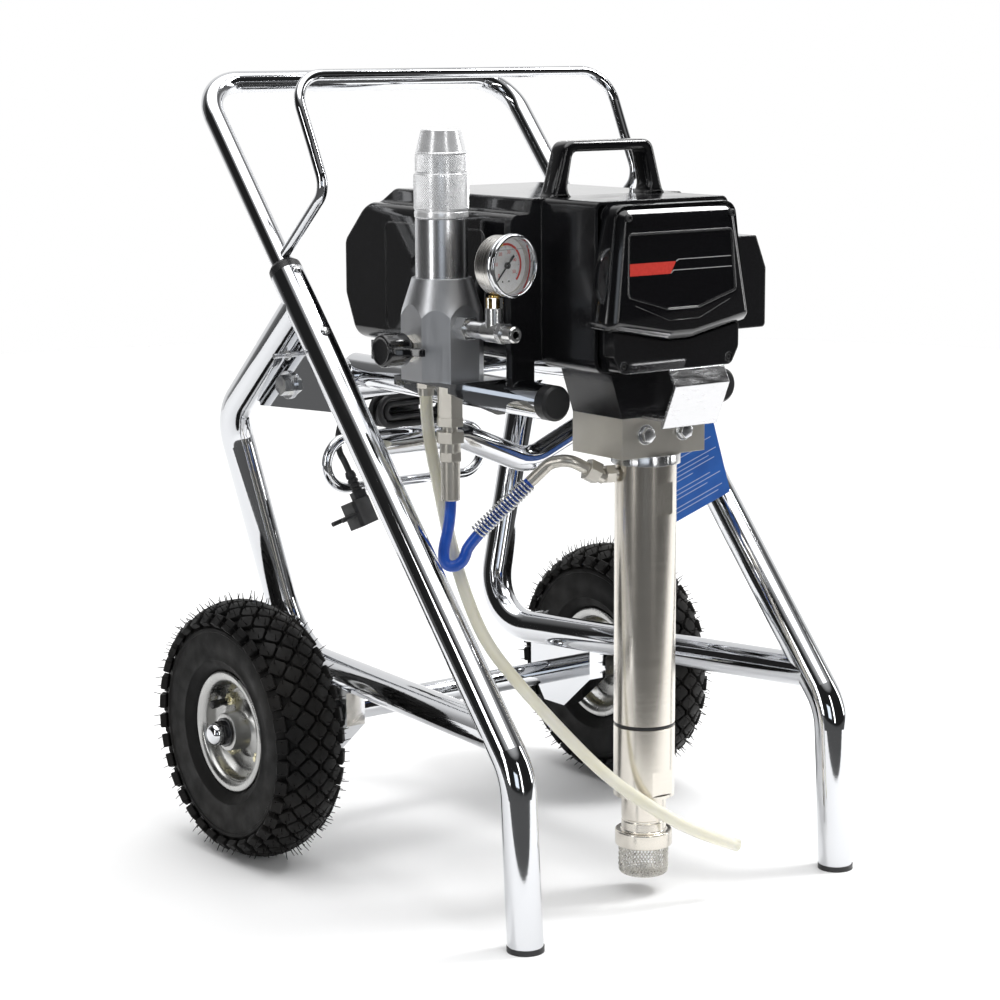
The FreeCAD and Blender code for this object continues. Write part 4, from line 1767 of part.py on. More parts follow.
PLUG_ENTRY = V(*PLUG_TOP) - V(*PLUG_WAY).normalize() * CORD_ENTRY
LEAD_WAY = [(HANK_LEFT, HANK_BACK, HANK_TOP_RUN), (LEAD_START_X, HANK_BACK, HANK_TOP_RUN), *LEAD_CORNERS,
            tuple(PLUG_ENTRY), PLUG_TOP]
GLAND_TIP = V(*GLAND) + BACK * GLAND_LENGTH
TAIL_WAY = [(HANK_RIGHT, HANK_FRONT, HANK_TOP_RUN), (TAIL_START_X, HANK_FRONT, HANK_TOP_RUN), *TAIL_CORNERS,
            tuple(GLAND_TIP + BACK * TAIL_STRAIGHT), tuple(GLAND_TIP)]


def cord_piece(name, way):
    radii = smooth_radii(way)
    print(name, "radii", [round(r) for r in radii])
    return sweep(bent_path(way, radii), CORD_D / 2)


def cord_gland():
    """Strain relief in the motor cover's rear face."""
    profile = [(CORD_D / 2, -SKIN), (GLAND_R, -SKIN), (GLAND_R, 0), (GLAND_R + 3, 0), (GLAND_R + 3, 3),
               (GLAND_R, 4.5), (CORD_D / 2 + 2, GLAND_LENGTH), (CORD_D / 2, GLAND_LENGTH)]
    return turned(profile, GLAND, BACK)


def cord_plug():
    """Angled two-pin plug with its ribbed strain relief."""
    top = V(*PLUG_TOP)
    way = V(*PLUG_WAY).normalize()
    pins = V(*PLUG_SIDE)
    pins = (pins - way * pins.dot(way)).normalize()
    side = way.cross(pins)
    groove, rib = [CORD_D / 2 + more for more in RELIEF_R]
    first, width, pitch = RELIEF_RIB
    relief = [(0, 0), (groove, 0)]
    for k in range(RELIEF_RIBS):
        low = first + pitch * k
        relief += [(rib, low), (rib, low + width), (groove, low + width + 0.5), (groove, low + pitch - 0.5)]
    boot_r, boot_low, boot_high = BOOT
    relief += [(boot_r, boot_low), (boot_r, boot_high), (0, boot_high)]
    boot = turned(relief, top, way)
    frame = FreeCAD.Matrix(pins.x, side.x, way.x, top.x, pins.y, side.y, way.y, top.y,
                           pins.z, side.z, way.z, top.z, 0, 0, 0, 1)
    head = slab_z(PLUG_HEAD, PLUG_HEAD_RUN, [5, 3, 3, 5]).transformed(frame)
    spine = slab_z(PLUG_SPINE, PLUG_SPINE_RUN, 4).transformed(frame)
    radius, length = PRONG
    x, y, z = PRONG_PLACE
    prongs = [Part.makeCylinder(radius, length, V(x, s * y, z), ACROSS).transformed(frame) for s in (1, -1)]
    return [joined(boot, head, spine)] + [p.cut(head) for p in prongs]


# Tag

def hang_tag():
    """Blue card that hangs behind the pump."""
    card = slab_y(TAG_CORNERS, (TAG_Y, TAG_Y + TAG_PLATE), TAG_ROUND)
    return card.cut(y_bar(TAG_HOLE, (TAG_Y - 1, TAG_Y + TAG_PLATE + 1), TAG_HOLE_R))


# Everything that is written

keep("leg_tubes", *pair(leg_tube()))
keep("rear_tubes", *pair(rear_tube()))
keep("v_cross_tube", cross_tube())
keep("gusset_plates", *pair(gusset()))
keep("axle_carrier", axle_spacer(), *pair(axle_bracket()))
keep("wheel_axle", axle())
keep("axle_nuts", *[piece for solid in axle_nut() + (inner_washer(),) for piece in pair(solid)])
keep("leg_plugs_and_collars", *(pair(foot_plug()) + pair(leg_collar())))
keep("frame_fasteners", *[piece for solid in pivot_bolt() + (leg_rivet(),) for piece in pair(solid)])
keep("lock_pin", lock_pin())
for side, place in (("right", lambda s: s), ("left", mirrored)):
    keep(side + "_tyre", place(tyre()))
    keep(side + "_rim", place(rim()), *[place(piece) for piece in rim_bolts() + [valve_stem()] + bearings()])
    keep(side + "_snap_button", place(snap_button()))
keep("handle_tube", handle_tube())
keep("handle_brace", handle_brace())
keep("cradle_frame", sleeve(), bracket(), *(pair(rail()) + pair(rear_foot())))
keep("rail_caps", *pair(rail_cap()))
keep("cord_ring", cord_ring())
keep("pump_block", pump_block())
keep("head_fasteners", jam_nut(), *(block_bolt(BOLT_X) + block_bolt(-BOLT_X)),
     *[cover_screw(*place) for place in screw_places()])
keep("pump_cylinder", cylinder(), *packings())
keep("piston_rod", piston_rod())
keep("foot_valve", foot_valve(), valve_ball())
keep("inlet_strainer", strainer_cap(), strainer())
keep("pail_hook", pail_hook())
keep("motor_rotor", motor_rotor(), motor_fan())
keep("motor_stator", *motor_stator())
keep("reduction_gear", reduction_gear())
keep("crank_gear", crank_gear())
keep("connecting_rod", *connecting_rod())
keep("front_cover", front_cover())
keep("lower_cover", lower_cover())
keep("gear_housing", gear_housing())
keep("motor_cover", motor_cover(), cord_gland())
keep("carry_handle", carry_handle())
keep("control_box", control_box(), switch_frame())
keep("pressure_knob", pressure_knob())
keep("power_switch", power_switch())
keep("manifold_block", manifold_block())
keep("filter_tube", filter_tube())
keep("filter_cap", filter_cap())
keep("filter_element", filter_element())
keep("manifold_fittings", prime_body(), drain_fitting(), *adapter_stack())
keep("prime_knob", prime_knob())
keep("gauge_tee", gauge_tee(), gauge_nipple())
keep("gauge_case", gauge_case(), gauge_dial())
keep("gauge_lens", gauge_lens())
keep("gauge_needle", gauge_needle())
keep("drain_tube", drain_tube())
keep("pressure_hose", pressure_hose())
keep("spring_guard", spring_guard())
keep("inlet_bend", inlet_bend())
keep("cord_hank", hank())
keep("cord_lead", cord_piece("cord lead", LEAD_WAY))
keep("cord_tail", cord_piece("cord tail", TAIL_WAY))
keep("cord_plug", *cord_plug())
keep("hang_tag", hang_tag())

os.makedirs("parts", exist_ok=True)
for node, shape in PIECES.items():
    shape.exportStep("parts/" + node + ".step")
    state = "valid" if shape.isValid() else "INVALID"
    print(node, len(shape.Solids), "solids", round(shape.Volume / 1000, 1), "cm3", state)
print(len(PIECES), "nodes")
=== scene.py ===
import bmesh
import bpy
import json
import math
from mathutils import Matrix, Vector


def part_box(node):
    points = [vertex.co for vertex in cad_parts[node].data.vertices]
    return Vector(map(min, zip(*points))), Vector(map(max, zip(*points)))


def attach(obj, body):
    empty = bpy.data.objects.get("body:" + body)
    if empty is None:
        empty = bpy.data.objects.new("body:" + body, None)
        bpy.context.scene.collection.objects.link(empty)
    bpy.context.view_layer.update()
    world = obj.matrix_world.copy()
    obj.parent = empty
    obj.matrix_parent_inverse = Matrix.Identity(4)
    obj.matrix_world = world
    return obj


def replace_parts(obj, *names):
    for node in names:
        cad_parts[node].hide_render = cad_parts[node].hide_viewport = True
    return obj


# Looks of an airless paint sprayer on a wheeled cart. Places are in millimetres from the middle of the
# front feet, as in the construction. mm() turns one into the frame's metres.

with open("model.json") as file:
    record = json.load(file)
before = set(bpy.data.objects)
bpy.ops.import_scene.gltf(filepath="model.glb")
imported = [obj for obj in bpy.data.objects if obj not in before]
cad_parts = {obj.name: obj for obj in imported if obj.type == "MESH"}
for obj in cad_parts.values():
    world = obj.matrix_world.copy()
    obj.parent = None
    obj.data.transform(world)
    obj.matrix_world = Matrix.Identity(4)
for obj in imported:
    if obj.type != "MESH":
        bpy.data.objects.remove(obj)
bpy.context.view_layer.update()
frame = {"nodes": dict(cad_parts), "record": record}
NODES = frame["nodes"]

MIDDLE_Y = 265.943
MM = 0.001


def mm(x, y, z):
    """A place in millimetres, in the frame's metres."""
    return Vector((x, y - MIDDLE_Y, z)) * MM


def link(thing):
    bpy.context.scene.collection.objects.link(thing)
    return thing


# Node trees

def link_to(tree, value, socket):
    """Set a socket to a value, or link an output to it."""
    if isinstance(value, bpy.types.NodeSocket):
        tree.links.new(value, socket)
    else:
        socket.default_value = value


class Nodes:
    """A node tree in the making."""

    def __init__(self, tree):
        self.tree = tree

    def node(self, kind, output=0, settings=(), **inputs):
        """A new node's output, or the node itself. Inputs are set or linked by name."""
        made = self.tree.nodes.new(kind)
        for name, value in settings:
            setattr(made, name, value)
        for name, value in inputs.items():
            link_to(self.tree, value, made.inputs[name.replace("_", " ")])
        return made if output is None else made.outputs[output]

    def ramp(self, value, stops):
        """Colours between stops, each of them a place and a colour."""
        made = self.node("ShaderNodeValToRGB", None, Fac=value)
        band = made.color_ramp
        while len(band.elements) < len(stops):
            band.elements.new(0.5)
        for element, (place, color) in zip(band.elements, stops):
            element.position = place
            element.color = (*color, 1)
        return made.outputs["Color"]


# Camera, as solved from the photograph

VIEW_TARGET = (0, 291.8, 350.3)
VIEW_AZIMUTH = math.radians(-37.08)
VIEW_ELEVATION = math.radians(10.12)
VIEW_ROLL = math.radians(-0.24)
VIEW_DISTANCE = 2607.75
VIEW_FOCAL = 2578.7      # in pixels of a frame that is 1000 wide
FRAME_WIDE = 1000.0
SENSOR = 36.0
AWAY = Vector((-math.sin(VIEW_AZIMUTH), math.cos(VIEW_AZIMUTH), 0.0))    # level, away from the camera


def photo_camera():
    back = Vector((0, 0, math.sin(VIEW_ELEVATION))) - AWAY * math.cos(VIEW_ELEVATION)
    data = bpy.data.cameras.new("photo_camera")
    data.sensor_width = SENSOR
    data.lens = VIEW_FOCAL / FRAME_WIDE * SENSOR
    data.clip_end = 50.0
    camera = link(bpy.data.objects.new("photo_camera", data))
    camera.location = mm(*VIEW_TARGET) + back * VIEW_DISTANCE * MM
    level = (-back).to_track_quat("-Z", "Y").to_matrix().to_4x4()
    camera.rotation_mode = "QUATERNION"
    camera.rotation_quaternion = (level @ Matrix.Rotation(VIEW_ROLL, 4, "Z")).to_quaternion()
    bpy.context.scene.camera = camera


# Stage and light

FLOOR_RADIUS = 2.6
FLOOR_FRONT = 0.66       # the floor ends this far in front of the object, where the chrome shows a dark room
SWEEP = ((-1, 0.02), (0.1, 0.02), (0.25, 0.12), (0.5, 0.2), (0.64, 0.9), (1, 0.95))
CEILING = ((-1, 0.16), (-0.04, 0.1), (0, 0), (0.66, 0), (0.8, 0.55), (1, 0.7))
SUN_POWER = 2.2
SUN_ANGLE = math.radians(70)
# A box's name, place, aim, width, height, power and tint
LIGHT_BOXES = (
    ("left box", (-3, -0.5, 1.1), (0, 0, 0.4), 0.55, 2, 17, (1, 1, 1)),
    ("front box", (-1.9, -2.5, 0.85), (0, 0, 0.5), 1, 0.9, 4.2, (0.84, 0.91, 1)),
    ("front strip", (-0.5, -3, 1.2), (0, 0, 0.4), 0.3, 2, 12, (1, 1, 1)),
    ("right box", (2.9, -1.3, 1.2), (0, 0, 0.4), 0.5, 2, 18, (1, 1, 1)),
    ("upper box", (1.5, -0.6, 2.3), (0, 0, 0.5), 0.6, 0.6, 28, (1, 1, 1)),
)


def floor():
    """A round pale floor. Beyond it the camera sees the white backdrop."""
    mesh = bmesh.new()
    bmesh.ops.create_circle(mesh, cap_ends=True, segments=96, radius=FLOOR_RADIUS,
                            matrix=Matrix.Translation(AWAY * (FLOOR_RADIUS - FLOOR_FRONT)))
    data = as_mesh(mesh)
    data.materials.append(finish("pale floor", (0.94, 0.94, 0.94), 0.9, Specular_IOR_Level=0.1))
    link(bpy.data.objects.new("floor", data))


def studio_world():
    """White behind the object, and in reflections a white sweep behind it, a dark room in front of it and
    a bright ceiling."""
    world = bpy.data.worlds.new("studio")
    world.use_nodes = True
    nodes = Nodes(world.node_tree)
    facing = nodes.node("ShaderNodeTexCoord", "Generated")

    def level(way, stops):
        """Brightness by how far a ray looks along a way."""
        along = nodes.node("ShaderNodeVectorMath", None, (("operation", "DOT_PRODUCT"),), Vector=facing)
        along.inputs[1].default_value = way
        span = nodes.node("ShaderNodeMapRange", 0, Value=along.outputs["Value"], From_Min=-1.0)
        return nodes.ramp(span, [((place + 1) / 2, (value,) * 3) for place, value in stops])

    both = nodes.node("ShaderNodeMix", "Result", (("data_type", "RGBA"), ("blend_type", "LIGHTEN")),
                      Factor=1.0, A=level(AWAY, SWEEP), B=level((0.0, 0.0, 1.0), CEILING))
    seen = nodes.node("ShaderNodeMix", "Result", (("data_type", "RGBA"),), A=both, B=(1.0, 1.0, 1.0, 1),
                      Factor=nodes.node("ShaderNodeLightPath", "Is Camera Ray"))
    link_to(world.node_tree, seen, world.node_tree.nodes["Background"].inputs["Color"])
    bpy.context.scene.world = world


def lamp(name, kind, power):
    data = bpy.data.lights.new(name, kind)
    data.energy = power
    return link(bpy.data.objects.new(name, data))


def light():
    """Boxes of light round the object, and a wide soft light straight above, so that the floor is as
    bright everywhere."""
    studio_world()
    lamp("overhead", "SUN", SUN_POWER).data.angle = SUN_ANGLE
    for name, place, aim, wide, high, power, tint in LIGHT_BOXES:
        box = lamp(name, "AREA", power)
        box.data.shape = "RECTANGLE"
        box.data.size = wide
        box.data.size_y = high
        box.data.color = tint
        box.location = place
        box.rotation_euler = (Vector(aim) - Vector(place)).to_track_quat("-Z", "Y").to_euler()
    bpy.context.scene.view_settings.view_transform = "Standard"


# Finishes. Each is a small node tree on Object coordinates, in metres.

class Surface(Nodes):
    """A material in the making, round its Principled shader."""

    def __init__(self, name, color, roughness, metallic=0.0):
        self.material = bpy.data.materials.new(name)
        self.material.use_nodes = True
        super().__init__(self.material.node_tree)
        self.shader = self.tree.nodes["Principled BSDF"]
        self.set("Base Color", (*color, 1))
        self.set("Roughness", roughness)
        self.set("Metallic", metallic)

    def set(self, socket, value):
        link_to(self.tree, value, self.shader.inputs[socket])

    def places(self, stretch=(1, 1, 1), turn=0.0):
        coords = self.node("ShaderNodeTexCoord", "Object")
        return self.node("ShaderNodeMapping", Vector=coords, Scale=stretch,
                         Rotation=(0, 0, math.radians(turn)))

    def noise(self, scale, detail, stretch=(1, 1, 1), turn=0.0):
        """Noise that is drawn out along an axis whose stretch is small."""
        return self.node("ShaderNodeTexNoise", "Fac", Vector=self.places(stretch, turn), Scale=scale,
                         Detail=float(detail))

    def cloud(self, noise, low, high, start=0.3, end=0.7):
        """Colours that wander from low to high."""
        self.set("Base Color", self.ramp(self.noise(*noise), ((start, low), (end, high))))

    def wear(self, noise, low, high):
        """Roughness that wanders from low to high."""
        self.set("Roughness", self.node("ShaderNodeMapRange", 0, Value=self.noise(*noise), From_Min=0.3,
                                        From_Max=0.7, To_Min=low, To_Max=high))

    def relief(self, height, depth, strength, edge=0.0):
        """A height map of a depth in metres. Edges look eased over a width in metres."""
        bumps = self.node("ShaderNodeBump", None, Height=height, Distance=depth, Strength=strength)
        if edge:
            link_to(self.tree, self.node("ShaderNodeBevel", "Normal", Radius=edge), bumps.inputs["Normal"])
        self.set("Normal", bumps.outputs["Normal"])


def finish(name, color, roughness, metallic=0.0, cloud=None, wear=None, relief=None, **sockets):
    """A material. Cloud, wear and relief each start with the scale and detail of their noise."""
    surface = Surface(name, color, roughness, metallic)
    if cloud:
        surface.cloud(*cloud)
    if wear:
        surface.wear(*wear)
    if relief:
        noise, *shape = relief
        surface.relief(surface.noise(*noise), *shape)
    for socket, value in sockets.items():
        surface.set(socket.replace("_", " "), value)
    return surface.material


def laminated_steel():
    """Stacked motor laminations with dull varnish."""
    surface = Surface("laminated steel", (0.20, 0.20, 0.21), 0.5, 0.8)
    surface.cloud((120, 2), (0.14, 0.13, 0.13), (0.26, 0.24, 0.22))
    sheets = surface.node("ShaderNodeTexWave", "Fac", Vector=surface.places(), Scale=300.0, Distortion=0.5)
    surface.relief(sheets, 0.0001, 0.5)
    return surface.material


def ink(name, color):
    """Printing ink, very slightly uneven."""
    pale = tuple(min(1.0, c * 1.12 + 0.01) for c in color)
    return finish(name, color, 0.45, cloud=((300, 2), color, pale, 0.35), wear=((500, 2), 0.38, 0.52))


FINISHES = {
    # bright plating with faint haze and pits
    "chrome": finish("chrome plating", (0.66, 0.67, 0.69), 0.05, 1.0, wear=((18, 3), 0.03, 0.09),
        relief=((260, 2), 3e-5, 0.35)),
    "zinc": finish("zinc plating", (0.72, 0.73, 0.74), 0.25, 1.0,
        cloud=((60, 3), (0.58, 0.59, 0.62), (0.74, 0.74, 0.72)), wear=((120, 4), 0.16, 0.27),
        relief=((500, 2), 8e-6, 0.5, 0.0006)),
    "steel": finish("machined steel", (0.50, 0.50, 0.51), 0.32, 1.0,
        wear=((160, 4, (1, 12, 1)), 0.22, 0.42), relief=((500, 2), 1e-5, 0.5, 0.0005)),
    # turned stainless, a little warm, with fine rings round the pump's axis
    "stainless": finish("turned stainless", (0.64, 0.60, 0.55), 0.24, 1.0,
        cloud=((20, 3, (1, 1, 0.3)), (0.66, 0.62, 0.555), (0.74, 0.705, 0.64)),
        wear=((1200, 3, (0.02, 0.02, 1)), 0.20, 0.26), relief=((1200, 3, (0.02, 0.02, 1)), 1.5e-6, 0.5)),
    # milled faces with a fine upright grain
    "aluminium": finish("milled aluminium", (0.64, 0.65, 0.67), 0.34, 1.0,
        cloud=((22, 3), (0.61, 0.62, 0.64), (0.68, 0.69, 0.71)), wear=((900, 3, (1, 1, 0.03)), 0.32, 0.42),
        relief=((900, 3, (1, 1, 0.03)), 1.2e-6, 0.5, 0.0007)),
    # brushed rings round the gauge's own axis
    "gauge_steel": finish("brushed gauge case", (0.62, 0.60, 0.57), 0.24, 1.0,
        wear=((500, 3, (0.03, 1, 0.03), -8), 0.20, 0.32),
        relief=((500, 3, (0.03, 1, 0.03), -8), 1e-5, 0.5)),
    "rim_silver": finish("silver rim paint", (0.44, 0.44, 0.43), 0.28, 1.0, wear=((40, 4), 0.20, 0.36),
        relief=((700, 2), 3e-5, 0.5)),
    # matt rubber, dusty where it is worn
    "tyre_rubber": finish("tyre rubber", (0.020, 0.020, 0.021), 0.62,
        cloud=((14, 5), (0.005, 0.005, 0.005), (0.013, 0.012, 0.011), 0.35, 0.75),
        wear=((60, 4), 0.42, 0.66), relief=((420, 4), 0.00012, 0.5), Specular_IOR_Level=0.14),
    # polished mouldings with a faint wave under the gloss
    "gloss_black": finish("glossy black plastic", (0.006, 0.006, 0.007), 0.08, wear=((9, 4), 0.05, 0.11),
        relief=((34, 2), 0.0002, 0.12, 0.0022), Coat_Weight=0.35, Coat_Roughness=0.03),
    # painted castings, glossy with a light orange peel
    "black_metal": finish("painted casting", (0.008, 0.008, 0.009), 0.14, wear=((24, 4), 0.09, 0.2),
        relief=((160, 2), 5e-5, 0.3, 0.0018), Specular_IOR_Level=0.35, Coat_Weight=0.15,
        Coat_Roughness=0.06),
    "matt_black": finish("matt black plastic", (0.014, 0.014, 0.015), 0.42, wear=((50, 4), 0.32, 0.5),
        relief=((900, 2), 6e-5, 0.5, 0.0008)),
    "cord_black": finish("cord sheath", (0.012, 0.012, 0.013), 0.45, wear=((80, 3), 0.36, 0.55),
        relief=((600, 3), 8e-5, 0.5)),
    "hose_blue": finish("blue hose cover", (0.008, 0.085, 0.52), 0.32,
        cloud=((60, 3), (0.006, 0.07, 0.44), (0.012, 0.11, 0.60)), relief=((500, 2), 0.0001, 0.4),
        Coat_Weight=0.3, Coat_Roughness=0.2),
    # milky tube that lets light through
    "clear_tube": finish("milky tube", (0.93, 0.89, 0.74), 0.22,
        cloud=((30, 3), (0.95, 0.90, 0.72), (0.98, 0.95, 0.82)), Transmission_Weight=0.12, IOR=1.35,
        Subsurface_Weight=0.3, Subsurface_Radius=(0.004, 0.004, 0.003), Coat_Weight=0.5,
        Coat_Roughness=0.1),
    "tag_blue": finish("printed blue card", (0.012, 0.10, 0.42), 0.35,
        cloud=((40, 3), (0.010, 0.09, 0.38), (0.015, 0.12, 0.47)), relief=((900, 2), 4e-5, 0.4),
        Coat_Weight=0.3),
    "mesh": finish("woven wire", (0.66, 0.64, 0.60), 0.3, 1.0, wear=((300, 4), 0.2, 0.42)),
    "filter_white": finish("filter cloth", (0.75, 0.75, 0.72), 0.6,
        relief=((900, 2, (1, 1, 0.2)), 0.0002, 0.6)),
    "needle_black": finish("needle paint", (0.01, 0.01, 0.01), 0.4, relief=((900, 2), 3e-5, 0.4)),
    "lens": finish("gauge glass", (0.5, 0.5, 0.5), 0.01, wear=((40, 3), 0.0, 0.03), Alpha=0.06,
        Specular_IOR_Level=1.0),
    "laminate": laminated_steel(),
    "brass": finish("brass", (0.72, 0.50, 0.17), 0.22, 1.0, wear=((200, 4), 0.14, 0.32),
        relief=((600, 2), 2e-5, 0.4)),
    # polished and knurled parts of the filter cap
    "bright": finish("bright aluminium", (0.90, 0.905, 0.915), 0.26, 0.5, wear=((80, 3), 0.22, 0.30),
        relief=((700, 3), 1e-6, 0.5)),
    "yellow_zinc": finish("yellow zinc plating", (0.72, 0.66, 0.44), 0.26, 1.0,
        cloud=((120, 3), (0.62, 0.58, 0.40), (0.80, 0.74, 0.50)), wear=((300, 4), 0.18, 0.36)),
    # drawn tube with faint bands along it
    "tube": finish("smooth aluminium", (0.62, 0.625, 0.64), 0.26, 1.0,
        wear=((60, 3, (1, 1, 0.08)), 0.22, 0.30), relief=((900, 3, (0.03, 0.03, 1)), 4e-7, 0.5)),
    # folded bright steel, rubbed dull
    "hook": finish("folded bright steel", (0.62, 0.62, 0.63), 0.2, 1.0,
        wear=((60, 4, (1, 1, 6)), 0.14, 0.30), relief=((300, 3), 2e-6, 0.5, 0.0012)),
    # nickel-plated block and fittings, a little warm
    "nickel": finish("satin nickel plating", (0.60, 0.575, 0.52), 0.34, 0.85,
        cloud=((22, 3), (0.57, 0.545, 0.49), (0.64, 0.615, 0.56)), wear=((300, 4), 0.28, 0.38),
        relief=((900, 3), 1.2e-6, 0.5, 0.0007)),
    "red": ink("signal red ink", (0.66, 0.034, 0.02)),
    "silver": ink("silver ink", (0.42, 0.42, 0.42)),
    "white": ink("white dial paint", (0.92, 0.91, 0.89)),
    "blue_ink": ink("pale blue ink", (0.10, 0.42, 0.58)),
    "yellow_ink": ink("yellow ink", (0.85, 0.60, 0.04)),
    "black_ink": ink("black ink", (0.015, 0.015, 0.016)),
    "pale_ink": ink("pale card ink", (0.42, 0.50, 0.66)),
}
NODE_FINISHES = {"filter_tube": "tube", "pail_hook": "hook", "pump_block": "nickel",
                 "manifold_fittings": "nickel", "inlet_bend": "nickel"}


def dress_nodes():
    """Every construction node gets the finish of its slot in the record, or its own."""
    for part in frame["record"]["subparts"]:
        node = NODES[part["node"]]
        node.data.materials.clear()
        node.data.materials.append(FINISHES[NODE_FINISHES.get(part["node"], part["material_slot"])])


def finish_piece(piece, slot, look=None, body="cradle"):
    """Give a piece its finish, from its look or else its slot, and its body."""
    piece.data.materials.clear()
    piece.data.materials.append(FINISHES[look or slot])
    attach(piece, body)
    return piece


dress_nodes()


# Pieces that repeat, grown by Geometry Nodes

class Tree(Nodes):
    """A Geometry Nodes tree in the making. Each size is a named input."""

    def __init__(self, name, counts=(), sizes=(), objects=()):
        super().__init__(bpy.data.node_groups.new(name, "GeometryNodeTree"))
        face = self.tree.interface
        face.new_socket("Geometry", in_out="OUTPUT", socket_type="NodeSocketGeometry")
        sockets = ((counts, "Int"), (sizes, "Float"), (objects, "Object"), (("Finish",), "Material"))
        for names, kind in sockets:
            for label in names:
                face.new_socket(label, in_out="INPUT", socket_type="NodeSocket" + kind)
        self.inputs = self.tree.nodes.new("NodeGroupInput").outputs

    def calc(self, operation, *values):
        made = self.node("ShaderNodeMath", None, (("operation", operation),))
        for socket, value in zip(made.inputs, values):
            link_to(self.tree, value, socket)
        return made.outputs[0]

    def plus(self, *values):
        return self.calc("ADD", *values)

    def minus(self, *values):
        return self.calc("SUBTRACT", *values)

    def times(self, *values):
        return self.calc("MULTIPLY", *values)

    def vector(self, x, y, z):
        return self.node("ShaderNodeCombineXYZ", X=x, Y=y, Z=z)

    def done(self, geometry):
        real = self.node("GeometryNodeRealizeInstances", Geometry=geometry)
        dressed = self.node("GeometryNodeSetMaterial", Geometry=real, Material=self.inputs["Finish"])
        self.tree.links.new(dressed, self.tree.nodes.new("NodeGroupOutput").inputs[0])
        return self.tree


def ring_tree():
    """Copies in rows round the Z axis, on a barrel. A copy's X axis looks outwards, and Gap leaves out
    those near -Y."""
    t = Tree("rings of copies", ("Count", "Rows", "Seed"),
             ("Radius", "Crown", "Middle", "Row Step", "Row Turn", "Turn", "Swing", "Size Spread", "Gap"),
             ("Copy",))
    i = t.inputs
    index = t.node("GeometryNodeInputIndex")
    row = t.calc("FLOOR", t.calc("DIVIDE", t.plus(index, 0.5), i["Count"]))
    place = t.minus(index, t.times(row, i["Count"]))
    step = t.calc("DIVIDE", 2 * math.pi, i["Count"])
    angle = t.plus(t.times(place, step), t.plus(i["Turn"], t.times(row, i["Row Turn"])))
    side = t.minus(row, t.times(t.minus(i["Rows"], 1.0), 0.5))
    lean = t.calc("DIVIDE", t.times(side, i["Row Step"]), i["Crown"])
    drop = t.times(i["Crown"], t.minus(1.0, t.calc("COSINE", lean)))
    radius = t.minus(i["Radius"], drop)
    x = t.times(radius, t.calc("COSINE", angle))
    y = t.times(radius, t.calc("SINE", angle))
    z = t.plus(i["Middle"], t.times(i["Crown"], t.calc("SINE", lean)))
    points = t.node("GeometryNodePoints", Count=t.times(i["Count"], i["Rows"]), Position=t.vector(x, y, z))
    above = t.plus(y, t.times(i["Radius"], t.calc("COSINE", i["Gap"])))
    kept = t.node("FunctionNodeCompare", 0, (("data_type", "FLOAT"),), A=above, B=0.0)
    chance = [t.node("FunctionNodeRandomValue", 1, Seed=t.plus(i["Seed"], float(k))) for k in range(4)]
    sway = [t.times(i["Swing"], t.minus(c, 0.5)) for c in chance[:3]]
    turn = t.vector(sway[0], t.minus(sway[1], lean), t.plus(angle, sway[2]))
    size = t.plus(1.0, t.times(i["Size Spread"], t.minus(chance[3], 0.5)))
    copy = t.node("GeometryNodeObjectInfo", "Geometry", Object=i["Copy"])
    return t.done(t.node("GeometryNodeInstanceOnPoints", Points=points, Selection=kept, Instance=copy,
                         Rotation=turn, Scale=t.vector(size, 1.0, 1.0)))


RINGS = ring_tree()
FAR = 1000.0    # a crown radius so large, in millimetres, that the rows nearly stand on a plain cylinder


def evaluated(thing):
    """The plain mesh that an object's modifiers make. The modifiers are removed."""
    bpy.context.view_layer.update()
    data = bpy.data.meshes.new_from_object(thing.evaluated_get(bpy.context.evaluated_depsgraph_get()))
    thing.modifiers.clear()
    return data


def grown(tree, look, **inputs):
    """The plain mesh that a tree makes with these inputs."""
    holder = link(bpy.data.objects.new("holder", bpy.data.meshes.new("holder")))
    modifier = holder.modifiers.new("tree", "NODES")
    modifier.node_group = tree
    inputs["Finish"] = FINISHES[look]
    for item in tree.interface.items_tree:
        if item.item_type == "SOCKET" and item.in_out == "INPUT":
            modifier[item.identifier] = inputs[item.name.replace(" ", "_")]
    data = evaluated(holder)
    bpy.data.objects.remove(holder)
    return data


def ringed(copy, look, count, radius, rows=1, crown=FAR, middle=0.0, row_step=0.0, row_turn=0.0, turn=0.0,
           swing=0.0, size_spread=0.0, gap=0.0, seed=1):
    """Copies of a small mesh in rings, lengths in millimetres and angles in degrees. The copy is used up."""
    holder = link(bpy.data.objects.new("copy", copy))
    data = grown(RINGS, look, Count=count, Rows=rows, Seed=seed, Radius=radius * MM, Crown=crown * MM,
                 Middle=middle * MM, Row_Step=row_step * MM, Row_Turn=math.radians(row_turn),
                 Turn=math.radians(turn), Swing=math.radians(swing), Size_Spread=size_spread,
                 Gap=math.radians(gap), Copy=holder)
    bpy.data.objects.remove(holder)
    return data


# Meshes

def mesh_piece(name, mesh):
    """A bmesh made into a smooth-shaded object."""
    mesh.normal_update()
    data = as_mesh(mesh)
    data.shade_smooth()
    return link(bpy.data.objects.new(name, data))


def as_mesh(shape):
    """A plain mesh of a bmesh, which is used up."""
    data = bpy.data.meshes.new("part")
    shape.to_mesh(data)
    shape.free()
    return data


def vertex(mesh, x, y, z):
    """A vertex at a place in millimetres."""
    return mesh.verts.new((x * MM, y * MM, z * MM))


def circle(count, radius=1.0, turn=0.0):
    """Points round a circle, from an angle in degrees."""
    angles = [math.radians(turn) + 2 * math.pi * k / count for k in range(count)]
    return [(radius * math.cos(a), radius * math.sin(a)) for a in angles]


